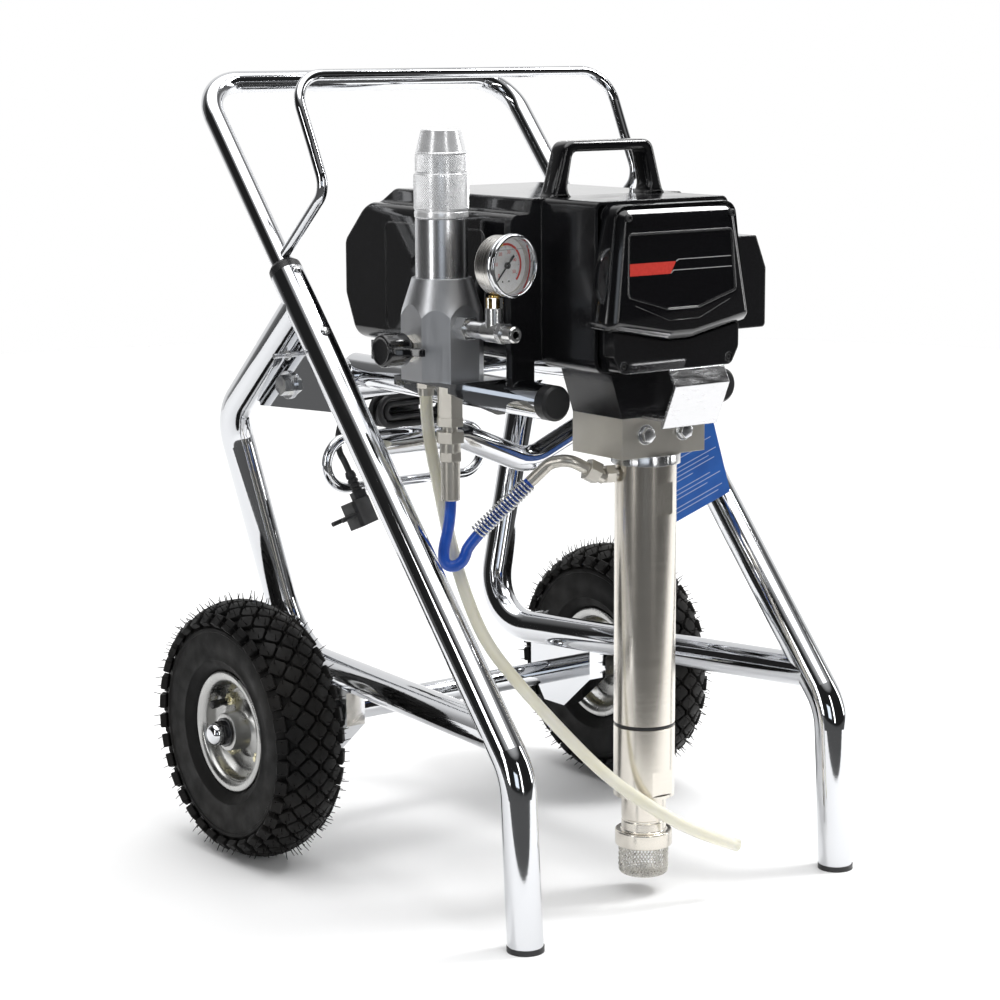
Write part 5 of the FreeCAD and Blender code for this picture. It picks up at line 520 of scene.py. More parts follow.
def loft(mesh, rings, ring=False, capped=False):
    """A skin over rings of vertices. A ring's end meets its start, and a capped one's ends are closed."""
    count = len(rings[0])
    for low, high in list(zip(rings, rings[1:])) + ([(rings[-1], rings[0])] if ring else []):
        for k in range(count):
            j = (k + 1) % count
            corners = list(dict.fromkeys((low[k], low[j], high[j], high[k])))
            if len(corners) > 2:
                mesh.faces.new(corners)
    for end in (rings[-1], rings[0]) if capped else ():
        mesh.faces.new(end)
    bmesh.ops.recalc_face_normals(mesh, faces=mesh.faces)
    return mesh


def slab(near, far):
    """A thin form between two outlines of places in metres."""
    mesh = bmesh.new()
    return loft(mesh, [[mesh.verts.new(place) for place in line] for line in (near, far)], capped=True)


def softened(profile, radius, steps=3):
    """A line of points with its corners rounded."""
    points = [Vector(p) for p in profile]
    line = [points[0]]
    for before, corner, after in zip(points, points[1:], points[2:]):
        back = before - corner
        ahead = after - corner
        reach = min(radius, back.length * 0.45, ahead.length * 0.45)
        start = corner + back.normalized() * reach
        end = corner + ahead.normalized() * reach
        for k in range(steps + 1):
            s = k / steps
            line.append(start * (1 - s) ** 2 + corner * 2 * s * (1 - s) + end * s ** 2)
    return line + [points[-1]]


def turned(profile, sides=96, ring=False):
    """A shape turned round the Z axis from radii and heights in millimetres. A ring's end meets its start."""
    mesh = bmesh.new()
    ways = circle(sides)
    rings = []
    for r, h in profile:
        if r < 0.001:
            rings.append([vertex(mesh, 0, 0, h)] * sides)
        else:
            rings.append([vertex(mesh, r * c, r * s, h) for c, s in ways])
    return loft(mesh, rings, ring)


def plate(corners, low, high, edge=0.0):
    """A flat plate on the XY plane, with its top edges eased, in millimetres."""
    mesh = bmesh.new()
    face = mesh.faces.new([vertex(mesh, x, y, low) for x, y in corners])
    top = bmesh.ops.extrude_face_region(mesh, geom=[face])
    raised = [v for v in top["geom"] if isinstance(v, bmesh.types.BMVert)]
    bmesh.ops.translate(mesh, verts=raised, vec=(0, 0, (high - low) * MM))
    if edge:
        rim = [e for e in mesh.edges if all(v in raised for v in e.verts)]
        bmesh.ops.bevel(mesh, geom=rim, offset=edge * MM, segments=2, affect="EDGES", profile=0.5)
    bmesh.ops.recalc_face_normals(mesh, faces=mesh.faces)
    return mesh


def block(*sizes):
    """A box with sizes in millimetres."""
    mesh = bmesh.new()
    bmesh.ops.create_cube(mesh, size=1.0)
    bmesh.ops.scale(mesh, vec=Vector(sizes) * MM, verts=mesh.verts)
    return mesh


STILL = Matrix.Identity(4)


def shift(height, out=0.0):
    """A move along the Z axis, and along the X axis, in millimetres."""
    return Matrix.Translation((out * MM, 0, height * MM))


def frame_at(place, out, up=(0, 0, 1)):
    """A frame at a place in millimetres, whose Z axis looks along out and whose Y axis is nearest to up."""
    z = Vector(out).normalized()
    x = Vector(up).cross(z).normalized()
    turn = Matrix((x, z.cross(x), z)).transposed().to_4x4()
    return Matrix.Translation(mm(*place)) @ turn


def upright(x, y, z):
    return frame_at((x, y, z), (0, 0, 1), (0, 1, 0))


def forwards(x, y, z):
    return frame_at((x, y, z), (0, -1, 0))


def built(name, parts, slot, look=None, body="cradle", sharp=38.0):
    """One piece from meshes and the frames that they stand in, smooth but for its sharp edges."""
    mesh = bmesh.new()
    for shape, place in parts:
        data = as_mesh(shape) if isinstance(shape, bmesh.types.BMesh) else shape
        data.transform(place)
        mesh.from_mesh(data)
        bpy.data.meshes.remove(data)
    for face in mesh.faces:
        face.material_index = 0
    piece = mesh_piece(name, mesh)
    piece.data.set_sharp_from_angle(angle=math.radians(sharp))
    return finish_piece(piece, slot, look, body)


def mirrored(corners):
    return list(corners) + [(-x, z) for x, z in reversed(corners)]


def around(corners):
    """Each corner of an outline with the ones before and after it."""
    count = len(corners)
    return [[Vector(corners[(k + step) % count]) for step in (-1, 0, 1)] for k in range(count)]


def moved_in(corners, amount):
    """A convex outline's corners, moved in by an amount."""
    result = []
    for before, here, after in around(corners):
        into = (here - before).normalized()
        out = (after - here).normalized()
        result.append(here + (out - into).normalized() * amount / math.cos(into.angle(out) / 2))
    return result


def rounded(corners, radii, steps=8):
    """An outline with its corners rounded, as points."""
    line = []
    for (before, here, after), radius in zip(around(corners), radii):
        back = (before - here).normalized()
        ahead = (after - here).normalized()
        half = back.angle(ahead) / 2
        middle = here + (back + ahead).normalized() * radius / math.sin(half)
        start = here + back * radius / math.tan(half) - middle
        sweep = start.angle_signed(here + ahead * radius / math.tan(half) - middle)
        line += [middle + Matrix.Rotation(-sweep * step / steps, 2) @ start for step in range(steps + 1)]
    return line


# Cords, tubes and hoses

CORD_D = 6.8
DRAIN_D = 12.0
DRAIN_WALL = 1.6
HOSE_D = 11.0
HANK_X = (-58, 52)
HANK_H = 40.0
HANK_LAYERS = 4
HANK_RUNS = 4            # a layer's runs lie at this many heights above and below its middle
HANK_STEP = 7.5
HANK_BACK = 450.4
LAYER_STEP = 7.6
HANK_Z = 427.4

TAIL_WAY = ((84, 416, 580), (84, 428.5, 580), (84.5, 438, 574), (85.5, 446, 563),
            (86.5, 450.5, 546), (86.5, 449.5, 525), (84.5, 445, 502), (80, 438.5, 480),
            (72, 432, 462), (60, 428.5, 449), (47, 427.6, 444))
LEAD_WAY = ((-52, 450.4, 444), (-61.5, 452, 441.5), (-69.5, 456.5, 434), (-74.5, 462.5, 423.5),
            (-77, 467, 411), (-79, 467.5, 397.5), (-81.2, 461.5, 385.5), (-80.5, 452.7, 377.3),
            (-77.9, 449, 367.1))
DRAIN_WAY = ((-158, 197, 486), (-158, 197, 468), (-155, 196.5, 438), (-150, 189.5, 396),
             (-146.5, 177, 344), (-141.5, 159, 293), (-133, 138.5, 249), (-113, 113, 211),
             (-87, 82, 168), (-59, 50, 127), (-24, 26, 96), (16, 9, 68),
             (60.3, -3, 49.6))
HOSE_WAY = ((-156.5, 161, 386), (-156.5, 161, 368), (-163.8, 166.5, 331), (-157.5, 161.8, 321),
            (-146.8, 153.7, 327), (-143.5, 151.2, 346.5), (-97.3, 116.6, 402.6))


def hank_way():
    """Control points of the hank, from its back run to its front run. Each loop's ends are the corners of
    an octagon round the loop's circle, and the runs between them are straight."""
    heights = [HANK_H / 2 - CORD_D / 2 - HANK_STEP / 2 * k for k in range(HANK_RUNS)]
    levels = [0]
    for layer in range(HANK_LAYERS):
        levels += [k if layer % 2 == 0 else HANK_RUNS - 1 - k for k in range(1, HANK_RUNS)]
    ends = (HANK_X[0] + HANK_H / 2, HANK_X[1] - HANK_H / 2)
    runs = [HANK_Z + heights[level] * (-1) ** k for k, level in enumerate(levels)]
    points = []
    for k in range(len(levels) - 1):
        side = 1 if k % 2 == 0 else -1
        middle = (runs[k] + runs[k + 1]) / 2
        corner = (runs[k] - runs[k + 1]) / 2 / math.cos(math.pi / 8)
        turn_x = ends[1] if side > 0 else ends[0]
        y = HANK_BACK - LAYER_STEP * (k // (HANK_RUNS - 1))
        for step in range(6):
            angle = math.pi / 8 * (2 * step - 1)
            out = side * abs(corner) * math.sin(angle)
            points.append((turn_x + out, y, middle + corner * math.cos(angle)))
    return points


def smooth_curve(name, points, diameter=0.0):
    """A smooth open curve with the points as its control points."""
    data = bpy.data.curves.new(name, "CURVE")
    data.dimensions = "3D"
    data.resolution_u = 8
    spline = data.splines.new("NURBS")
    spline.points.add(len(points) - 1)
    for point, place in zip(spline.points, points):
        point.co = (*mm(*place), 1)
    spline.order_u = 3
    spline.use_endpoint_u = True
    data.bevel_depth = diameter / 2 * MM
    data.bevel_resolution = 4
    data.use_fill_caps = True
    return link(bpy.data.objects.new(name, data))


def points_of(curve):
    """The places along a curve with no bevel, in the frame's metres."""
    depth = curve.data.bevel_depth
    curve.data.bevel_depth = 0.0
    bpy.context.view_layer.update()
    line = bpy.data.meshes.new_from_object(curve)
    curve.data.bevel_depth = depth
    places = [v.co.copy() for v in line.vertices]
    bpy.data.meshes.remove(line)
    print(curve.name, round(sum((b - a).length for a, b in zip(places, places[1:])), 4))
    return places


def tube_mesh(name, places, outer, inner):
    """A tube with a wall along places, its ends closed by rings."""
    mesh = bmesh.new()
    ways = [(b - a).normalized() for a, b in zip(places, places[1:])]
    ways = [ways[0]] + [(a + b).normalized() for a, b in zip(ways, ways[1:])] + [ways[-1]]
    side = ways[0].orthogonal().normalized()
    skins = ([], [])
    for place, way in zip(places, ways):
        side = (side - way * side.dot(way)).normalized()
        other = way.cross(side)
        for skin, r in zip(skins, (outer, inner)):
            skin.append([mesh.verts.new(place + (side * c + other * s) * r) for c, s in circle(24)])
    return mesh_piece(name, loft(mesh, skins[0] + skins[1][::-1], True))


def power_cord():
    cord = smooth_curve("power_cord", list(TAIL_WAY) + hank_way()[::-1] + list(LEAD_WAY), CORD_D)
    points_of(cord)
    finish_piece(cord, "cord_black")
    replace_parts(cord, "cord_tail", "cord_hank", "cord_lead")


def drain_tube():
    route = smooth_curve("drain_route", DRAIN_WAY)
    places = points_of(route)
    bpy.data.objects.remove(route)
    tube = tube_mesh("clear_drain_tube", places, DRAIN_D / 2 * MM, (DRAIN_D / 2 - DRAIN_WALL) * MM)
    finish_piece(tube, "clear_tube")
    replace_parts(tube, "drain_tube")


def blue_hose():
    hose = smooth_curve("blue_hose", HOSE_WAY, HOSE_D)
    points_of(hose)
    finish_piece(hose, "hose_blue")
    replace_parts(hose, "pressure_hose")


# Wheels

WHEEL_X = 236.4
AXLE_Y = 396.5
AXLE_FACE = 265.8
TYRE_D = 260.0
TREAD_CROWN = 46.0
TREAD_ROWS = 5
TREAD_STEP = 12.4
TREAD_FILL = 0.83       # how much of its diamond a block fills
TREAD_BLUNT = 0.16
TREAD_COUNT = 34
TREAD_PITCH = math.pi * TYRE_D / TREAD_COUNT
TREAD_R = TYRE_D / 2 - 0.45
LUG_R = 128.0
HAIR_R = 127.5
HAIR_ROWS = 7
HAIR_GAP = 24.0
RIM_NUT_R = 36.0
VALVE_R = 43.0
SEAM = ((124, -0.6), (129.8, -0.3), (129.8, 0.3), (124, 0.6))
TYRE_HALF = ((52, 15), (52, 23.4), (61.5, 23.4), (63, 25.4), (66.5, 28.6), (72, 31), (73, 32.4),
             (75, 32.6), (76.5, 32), (86, 33.6), (95, 33.8), (101, 33.2), (102.2, 34.2), (105, 33.8),
             (106.4, 32.2), (111, 30.6), (116.5, 25.5), (120.5, 19), (123.6, 10), (124.6, 0))
RIM_HALF = ((13, 29), (18.6, 29), (19, 28), (19.4, 11), (23, 7.6), (29, 4), (41, 3.6),
            (43.5, 4.6), (46, 7.6), (48.6, 11), (49.6, 15), (49.6, 20.5), (51.6, 24.4), (55, 26),
            (59.4, 26.4), (61, 25.4), (61, 23.6), (58, 23.2), (53.4, 22.8), (52, 21), (52, 0))
SEAL = ((8.2, 20), (12.8, 20), (12.8, 28.6), (11.6, 29), (9.4, 28.8), (8.2, 28))
STEM = ((0, 4), (5.2, 4), (5.2, 7), (3.6, 9), (3.4, 15.5), (4.2, 16), (4.2, 22.6), (3.4, 24.4),
        (0, 24.6))
SPACER = ((8.1, 167.1), (11, 167.1), (11, 207.2), (8.1, 207.2))


def outwards(x, side):
    """A frame on the axle's line, looking out on one side."""
    return frame_at((side * x, AXLE_Y, TYRE_D / 2), (side, 0, 0))


def both_halves(half):
    """A closed ring profile from the half on its outer side."""
    return list(half) + [(r, -h) for r, h in reversed(half) if h > 0]


def tread_block():
    """A diamond with blunt corners and eased edges, 7 mm tall, looking along X."""
    across = TREAD_PITCH / 2 * TREAD_FILL
    wide = TREAD_STEP * TREAD_FILL
    corners = []
    for u, v in ((across, 0), (0, wide), (-across, 0), (0, -wide)):
        for cut in (-TREAD_BLUNT, TREAD_BLUNT):
            corners.append((u * (1 - TREAD_BLUNT) - v / wide * across * cut,
                            v * (1 - TREAD_BLUNT) + u / across * wide * cut))
    mesh = bmesh.new()
    levels = ((-7.0, 1.08), (-0.8, 1.02), (-0.2, 0.98), (0.0, 0.91))
    rings = [[vertex(mesh, x, u * s, v * s) for u, v in corners] for x, s in levels]
    return as_mesh(loft(mesh, rings, capped=True))


def rubber_hair():
    """A moulding hair that bends a little, looking along X."""
    mesh = bmesh.new()
    levels = ((-1.5, 0.0, 0.8), (4.75, 0.3, 0.496), (9.5, 1.4, 0.32))
    rings = [[vertex(mesh, x, bend + r * c, r * s) for c, s in circle(5)] for x, bend, r in levels]
    return as_mesh(loft(mesh, rings, capped=True))


def side_lug():
    """A low shoulder lug that runs down the side wall, looking along X."""
    mesh = block(7.0, 14.0, 12.0)
    bmesh.ops.bevel(mesh, geom=list(mesh.edges), offset=0.9 * MM, segments=1, affect="EDGES")
    return as_mesh(mesh)


def tyre(name, side):
    place = outwards(WHEEL_X, side)
    half_pitch = 180.0 / TREAD_COUNT
    shapes = (
        turned(both_halves(TYRE_HALF), 120, True),
        ringed(tread_block(), "tyre_rubber", TREAD_COUNT, TREAD_R, TREAD_ROWS, TREAD_CROWN,
               row_step=TREAD_STEP, row_turn=half_pitch),
        ringed(side_lug(), "tyre_rubber", TREAD_COUNT, LUG_R, 2, TREAD_CROWN,
               row_step=(TREAD_ROWS + 1) * TREAD_STEP, turn=-half_pitch),
        ringed(rubber_hair(), "tyre_rubber", TREAD_COUNT * 2, HAIR_R, HAIR_ROWS, TREAD_CROWN,
               row_step=TREAD_STEP, turn=half_pitch / 2, swing=30.0, size_spread=0.6, gap=HAIR_GAP,
               seed=5 + side),
        turned(SEAM, 120, True),
    )
    piece = built(name + "_tyre_with_tread", [(shape, place) for shape in shapes], "tyre_rubber",
                  body=name + "_wheel")
    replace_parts(piece, name + "_tyre")


def nut(across, high, bolt=0.0, turn=0.0):
    """A chamfered hexagon nut on the XY plane, with a bolt's end in it."""
    mesh = plate(circle(6, across / 2 / math.cos(math.pi / 6), turn), 0.0, high, across * 0.06)
    if bolt:
        bmesh.ops.create_cone(mesh, cap_ends=True, segments=24, radius1=bolt * MM, radius2=(bolt - 0.6) * MM,
                              depth=high * 1.5 * MM, matrix=shift(high * 0.75))
    return mesh


def rim(name, side):
    place = outwards(WHEEL_X, side)
    body = name + "_wheel"
    dish = built(name + "_pressed_rim", [(turned(both_halves(softened(RIM_HALF, 1.2, 2)), 96, True), place)],
                 "rim_silver", body=body)
    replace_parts(dish, name + "_rim")
    nuts = []
    for k in range(4):
        for flip in (STILL, Matrix.Rotation(math.pi, 4, "X")):
            turn = Matrix.Rotation(math.radians(45 + 90 * k), 4, "Z")
            nuts.append((nut(12.0, 5.5, 3.2), place @ flip @ turn @ shift(3.4, RIM_NUT_R)))
    built(name + "_rim_nuts", nuts, "zinc", "yellow_zinc", body)
    seals = (SEAL, [(r, -h) for r, h in SEAL])
    built(name + "_wheel_bearings", [(turned(seal, 64, True), place) for seal in seals], "steel", body=body)
    seat = Matrix.Rotation(math.radians(150), 4, "Z") @ shift(0.0, VALVE_R)
    tilt = Matrix.Rotation(math.radians(-8), 4, "Y")
    built(name + "_tyre_valve", [(turned(softened(STEM, 0.5, 2), 32), place @ seat @ tilt)], "matt_black",
          body=body)


def axle_ends():
    """Black nut and washer, and the chromed dome nut, at each end of the axle."""
    washer = softened([(8.1, 0), (14.5, 0), (14.5, 1.8), (8.1, 1.8)], 0.3)
    dome = softened([(11.0, 0), (11.0, 2.2), (9.8, 5.6), (7.0, 7.8), (0, 8.8)], 2.6, 4)
    dark, bright, sleeves = [], [], []
    for side in (1, -1):
        place = outwards(AXLE_FACE, side)
        dark.append((turned(washer, 48, True), place))
        dark.append((nut(21.0, 7.6, 0.0, 12.0 * side), place @ shift(1.9)))
        bright.append((turned([(0, 0)] + dome, 64), place @ shift(9.6)))
        sleeves.append((turned(SPACER, 48, True), outwards(0, side)))
    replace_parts(built("axle_nuts_black", dark, "gloss_black", body="cart"), "axle_nuts")
    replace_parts(built("axle_dome_nuts", bright, "chrome", body="cart"), "axle_nuts")
    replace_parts(built("axle_spacers", sleeves, "zinc", body="cart"), "axle_nuts")


# Suction strainer

PUMP_Y = 65.0
STRAINER_R = 23.4
STRAINER_RING = ((13, 50), (13, 47), (26.6, 47), (27.5, 48), (27.5, 61), (26.7, 62),
                 (22.6, 62), (21.5, 63), (21.5, 71), (20.8, 71.6), (20.8, 73.4), (21.5, 74),
                 (21.5, 96), (20.9, 96.8), (13, 96.8))


def cup_tree():
    """Wires that run from the middle of a cup's floor to its rim, turning as they go."""
    t = Tree("wires of a cup", ("Wires", "Steps"), ("Radius", "Height", "Twist", "Wire", "Wave", "Corner"))
    i = t.inputs
    line = t.node("GeometryNodeCurvePrimitiveLine", "Curve")
    fine = t.node("GeometryNodeResampleCurve", "Curve", Curve=line, Count=i["Steps"])
    along = t.node("GeometryNodeSplineParameter", "Factor")
    reach = t.times(along, t.plus(i["Radius"], i["Height"]))
    wave = t.times(i["Wave"], t.calc("SINE", t.times(along, t.times(i["Twist"], i["Wires"]))))
    out = t.plus(t.calc("SMOOTH_MIN", reach, i["Radius"], i["Corner"]), wave)
    up = t.plus(t.calc("SMOOTH_MAX", t.minus(reach, i["Radius"]), 0.0, i["Corner"]), wave)
    angle = t.times(i["Twist"], along)
    place = t.vector(t.times(out, t.calc("COSINE", angle)), t.times(out, t.calc("SINE", angle)), up)
    bent = t.node("GeometryNodeSetPosition", Geometry=fine, Position=place)
    section = t.node("GeometryNodeCurvePrimitiveCircle", "Curve", Resolution=5, Radius=i["Wire"])
    wire = t.node("GeometryNodeCurveToMesh", "Mesh", Curve=bent, Profile_Curve=section, Fill_Caps=True)
    turn = t.times(t.node("GeometryNodeInputIndex"), t.calc("DIVIDE", 2 * math.pi, i["Wires"]))
    points = t.node("GeometryNodePoints", Count=i["Wires"])
    return t.done(t.node("GeometryNodeInstanceOnPoints", Points=points, Instance=wire,
                         Rotation=t.vector(0.0, 0.0, turn)))


def suction_strainer():
    cup = cup_tree()
    ways = [grown(cup, "mesh", Wires=44, Steps=46, Radius=STRAINER_R * MM, Height=29.0 * MM, Twist=1.5 * side,
                  Wire=0.42 * MM, Wave=0.35 * side * MM, Corner=7.0 * MM) for side in (1, -1)]
    place = Matrix.Translation(mm(0, PUMP_Y, 18.6))
    mesh = built("strainer_mesh_cup", [(way, place) for way in ways], "mesh")
    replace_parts(mesh, "inlet_strainer")
    ring = built("strainer_ring", [(turned(softened(STRAINER_RING, 0.6), 96, True), upright(0, PUMP_Y, 0))],
                 "stainless")
    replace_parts(ring, "inlet_strainer")


# Filter cap

FILTER_X = -148.0
FILTER_Y = 184.0
CAP_LOW = 647.0
CAP_LINE = ((19, 0), (24.4, 0), (25.2, 0.8), (25.2, 5.6), (24.7, 6), (24.7, 7), (25, 7.4),
            (25, 40.4), (24.4, 41), (23.4, 41.4), (23.4, 58.4), (23.9, 59), (23.9, 59.8), (23.2, 60.4),
            (18.6, 80), (17.8, 81), (10.8, 81), (10, 80.2), (10, 69), (19, 69))
KNURL_COUNT = 66
KNURL_TALL = 0.9


def knurl_tooth(wide, tall):
    """A four-sided point, looking along X."""
    mesh = bmesh.new()
    base = [vertex(mesh, -0.1, y, z) for y, z in ((wide, 0), (0, wide), (-wide, 0), (0, -wide))]
    tip = vertex(mesh, tall, 0, 0)
    for k in range(4):
        mesh.faces.new((base[k], base[(k + 1) % 4], tip))
    mesh.faces.new(base[::-1])
    return as_mesh(mesh)


def knurl(radius, low, high):
    """Crossed knurling round a cylinder."""
    half_pitch = math.pi * radius / KNURL_COUNT
    rows = int((high - low) / half_pitch)
    return ringed(knurl_tooth(half_pitch, KNURL_TALL), "bright", KNURL_COUNT, radius, rows,
                  middle=(low + high) / 2, row_step=half_pitch, row_turn=180.0 / KNURL_COUNT)


def filter_cap():
    place = upright(FILTER_X, FILTER_Y, CAP_LOW)
    shapes = (turned(softened(CAP_LINE, 0.5), 128, True), knurl(24.95, 8.2, 40.0), knurl(23.35, 42.2, 58.0))
    cap = built("filter_cap_knurled", [(shape, place) for shape in shapes], "aluminium", "bright", sharp=25.0)
    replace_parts(cap, "filter_cap")


# Front cover

COVER_CORNERS = ((71, 662), (87.5, 551), (14, 537))
COVER_ROUNDS = (14, 9, 22)
COVER_Y = 12.0
COVER_BEND = 552.0       # the height where the cover's face starts to lean back
COVER_LEAN = 7.0 / 110.0
# Each level of the cover is an inset, how far back it lies, and whether that is behind the leaning face
COVER_LEVELS = ((0, 43, False), (0, 25.5, False), (0.5, 23.2, False), (1.6, 8, True), (7.2, 1.6, True),
                (9, 0.5, True), (11.5, 0, True))
BADGE_CORNERS = ((61, 636), (64, 581), (18, 568))
BADGE_DEPTH = 0.8
BADGE_BAR = ((-61.6, 599), (-13.5, 599), (-6.5, 610), (-61.2, 610))
BADGE_LINES = (((-6, 609.6), (-3, 611.2), (60.6, 611.2), (60.6, 611.9), (-3.6, 611.9), (-6.6, 610.4)),
               ((-13, 599), (-9.5, 601.6), (61.2, 601.6), (61.2, 602.3), (-10, 602.3), (-13.8, 599.4)))
LOW_BEAD = ((-57, 572.5), (-18, 557.2), (18, 557.2), (57, 572.5))
SCREW_HIGH = (62, 651)
SCREW_HOLE_R = 4.9


def face_y(z, behind=0.0):
    """How far back the cover's leaning face is at a height."""
    return COVER_Y + max(0.0, z - COVER_BEND) * COVER_LEAN + behind


def shell_of(levels, corners, radii):
    """A closed form from outlines at levels."""
    mesh = bmesh.new()
    loops = []
    for inset, behind, leaning in levels:
        line = rounded(moved_in(corners, inset), [max(0.8, r - inset) for r in radii])
        loops.append([mesh.verts.new(mm(x, face_y(z, behind) if leaning else behind, z)) for x, z in line])
    return loft(mesh, loops, capped=True)


def bead(places, radius, closed=True):
    """A round bead along places in millimetres."""
    mesh = bmesh.new()
    points = [mm(*place) for place in places]
    last = len(points) - 1
    rings = []
    for k, point in enumerate(points):
        before = points[k - 1] if closed or k else point
        after = points[(k + 1) % (last + 1)] if closed or k < last else point
        way = (after - before).normalized()
        side = way.cross(Vector((0, 1, 0))).normalized()
        up = side.cross(way)
        rings.append([mesh.verts.new(point + (side * c + up * s) * radius * MM) for c, s in circle(8)])
    return loft(mesh, rings, closed, not closed)


def cut_away(piece, cutter):
    """Cut a piece by another, which is used up."""
    modifier = piece.modifiers.new("cut", "BOOLEAN")
    modifier.object = cutter
    modifier.solver = "EXACT"
    piece.data = evaluated(piece)
    bpy.data.objects.remove(cutter)


def front_cover():
    shell = mesh_piece("front_cover_shell", shell_of(COVER_LEVELS, mirrored(COVER_CORNERS),
                                                     COVER_ROUNDS + COVER_ROUNDS[::-1]))
    holes = bmesh.new()
    for side in (1, -1):
        bmesh.ops.create_cone(holes, cap_ends=True, segments=40, radius1=SCREW_HOLE_R * MM,
                              radius2=SCREW_HOLE_R * MM, depth=18 * MM,
                              matrix=forwards(side * SCREW_HIGH[0], 9.0, SCREW_HIGH[1]))
    cut_away(shell, mesh_piece("screw holes", holes))
    badge = mirrored(BADGE_CORNERS)
    panel = shell_of([(0.0, -5.0, True), (0.0, BADGE_DEPTH, True)], badge, [3.0] * 6)
    cut_away(shell, mesh_piece("badge", panel))
    shell.data.shade_smooth()
    shell.data.set_sharp_from_angle(angle=math.radians(28))
    finish_piece(shell, "gloss_black")
    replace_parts(shell, "front_cover")
    line = [(x, face_y(z, -0.1), z) for x, z in rounded(moved_in(badge, -1.2), [4.0] * 6)]
    low = [(x, face_y(z, 0.1), z) for x, z in LOW_BEAD]
    built("badge_beads", [(bead(line, 0.55), STILL), (bead(low, 0.5, False), STILL)], "gloss_black")


def laid(corners):
    """A thin mark on the badge, from corners of x and z."""
    faces = [[mm(x, face_y(z, BADGE_DEPTH + more), z) for x, z in corners] for more in (-0.12, 0.05)]
    return slab(*faces)


def badge_marks():
    built("badge_red_bar", [(laid(BADGE_BAR), STILL)], "gloss_black", "red")
    built("badge_lines", [(laid(line), STILL) for line in BADGE_LINES], "gloss_black", "silver")


# Pressure gauge

GAUGE = (-147, 88, 609)
GAUGE_TURN = math.radians(8.0)
GAUGE_DEPTH = 27.0
DIAL_H = 14.0
GAUGE_BODY = ((0, 0), (25, 0), (26.6, 0.9), (27, 2), (27, 18), (26.2, 18.6), (25.4, 18.6),
              (25.4, 4), (0, 4))
GAUGE_BEZEL = ((25.3, 18.2), (28, 18.2), (28.8, 19), (29, 20.4), (28.5, 21.5), (28.6, 22),
               (29, 23), (29, 25.4), (28, 26.8), (27, 27), (26.2, 26.2), (25.7, 24), (25.3, 23.4))
GAUGE_DIAL = ((0, 13), (25.3, 13), (25.3, 14), (0, 14))
# Each coloured arc's name, finish, outer radius, start and end
DIAL_ARCS = (("blue", "blue_ink", 20, 225, 135), ("yellow", "yellow_ink", 20.2, 135, 100),
             ("red", "red", 20.2, 100, -45))
ARC_INNER = 18.0
ARC_STEPS = 40
DIAL_START = 225.0       # the angle of the first number
NUMBER_STEP = 51.0
NUMBER_R = 12.4
STOP_PINS = ((-4, -14.5), (4, -14.5))
LIQUID_LINE = ((-20.4, 14.6), (20.4, 14.6), (20.4, 15.2), (-20.4, 15.2))


def arc(outer, start, end):
    """A flat band of a ring, between two angles in degrees, on the dial."""
    angles = [math.radians(start + (end - start) * k / ARC_STEPS) for k in range(ARC_STEPS + 1)]
    line = [(outer * math.cos(a), outer * math.sin(a)) for a in angles]
    line += [(ARC_INNER * math.cos(a), ARC_INNER * math.sin(a)) for a in reversed(angles)]
    return plate(line, -0.05, 0.1)


def digits(text, size, x, y):
    """Plain numerals as a thin plate, standing upright on the dial."""
    data = bpy.data.curves.new("digits", "FONT")
    data.body = text
    data.size = size * MM
    data.extrude = 0.05 * MM
    data.align_x = "CENTER"
    data.align_y = "CENTER"
    letters = link(bpy.data.objects.new("digits", data))
    bpy.context.view_layer.update()
    mesh = bpy.data.meshes.new_from_object(letters)
    bpy.data.objects.remove(letters)
    mesh.transform(Matrix.Translation((x * MM, y * MM, 0)))
    return mesh


def ticks(length, wide, count, radius):
    """Thin marks that point outwards from a dial's middle."""
    return ringed(as_mesh(block(length, wide, 0.1)), "black_ink", count, radius, turn=90.0, gap=45.0)


def pressure_gauge():
    place = frame_at(GAUGE, (math.sin(GAUGE_TURN), -math.cos(GAUGE_TURN), 0.0)) @ shift(-GAUGE_DEPTH / 2)
    dial = place @ shift(DIAL_H)
    case = built("gauge_case_body", [(turned(softened(GAUGE_BODY, 0.6), 128), place)], "gauge_steel")
    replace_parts(case, "gauge_case")
    ring = softened(GAUGE_BEZEL + GAUGE_BEZEL[:1], 0.5)[:-1]
    bezel = built("gauge_bezel", [(turned(ring, 128, True), place)], "gauge_steel", "chrome")
    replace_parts(bezel, "gauge_case")
    face = built("gauge_dial", [(turned(GAUGE_DIAL, 96), place)], "gauge_steel", "white")
    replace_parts(face, "gauge_case")
    for name, look, outer, start, end in DIAL_ARCS:
        built("gauge_" + name + "_arc", [(arc(outer, start, end), dial)], "gauge_steel", look)
    marks = [ticks(1.4, 0.22, 60, 17.0), ticks(2.4, 0.35, 12, 16.6)]
    for x, y in STOP_PINS:
        marks.append(plate([(x + c, y + s) for c, s in circle(16, 0.9)], 0, 0.1))
    built("gauge_ticks", [(mark, dial) for mark in marks], "gauge_steel", "black_ink")
    numbers = []
    for k in range(6):
        angle = math.radians(DIAL_START - NUMBER_STEP * k)
        numbers.append(digits(str(10 * k), 4.4, NUMBER_R * math.cos(angle), NUMBER_R * math.sin(angle)))
    built("gauge_numbers", [(number, dial) for number in numbers], "gauge_steel", "red")
    built("gauge_liquid_line", [(plate(LIQUID_LINE, 0, 0.4), place @ shift(22.4))], "lens", "silver")


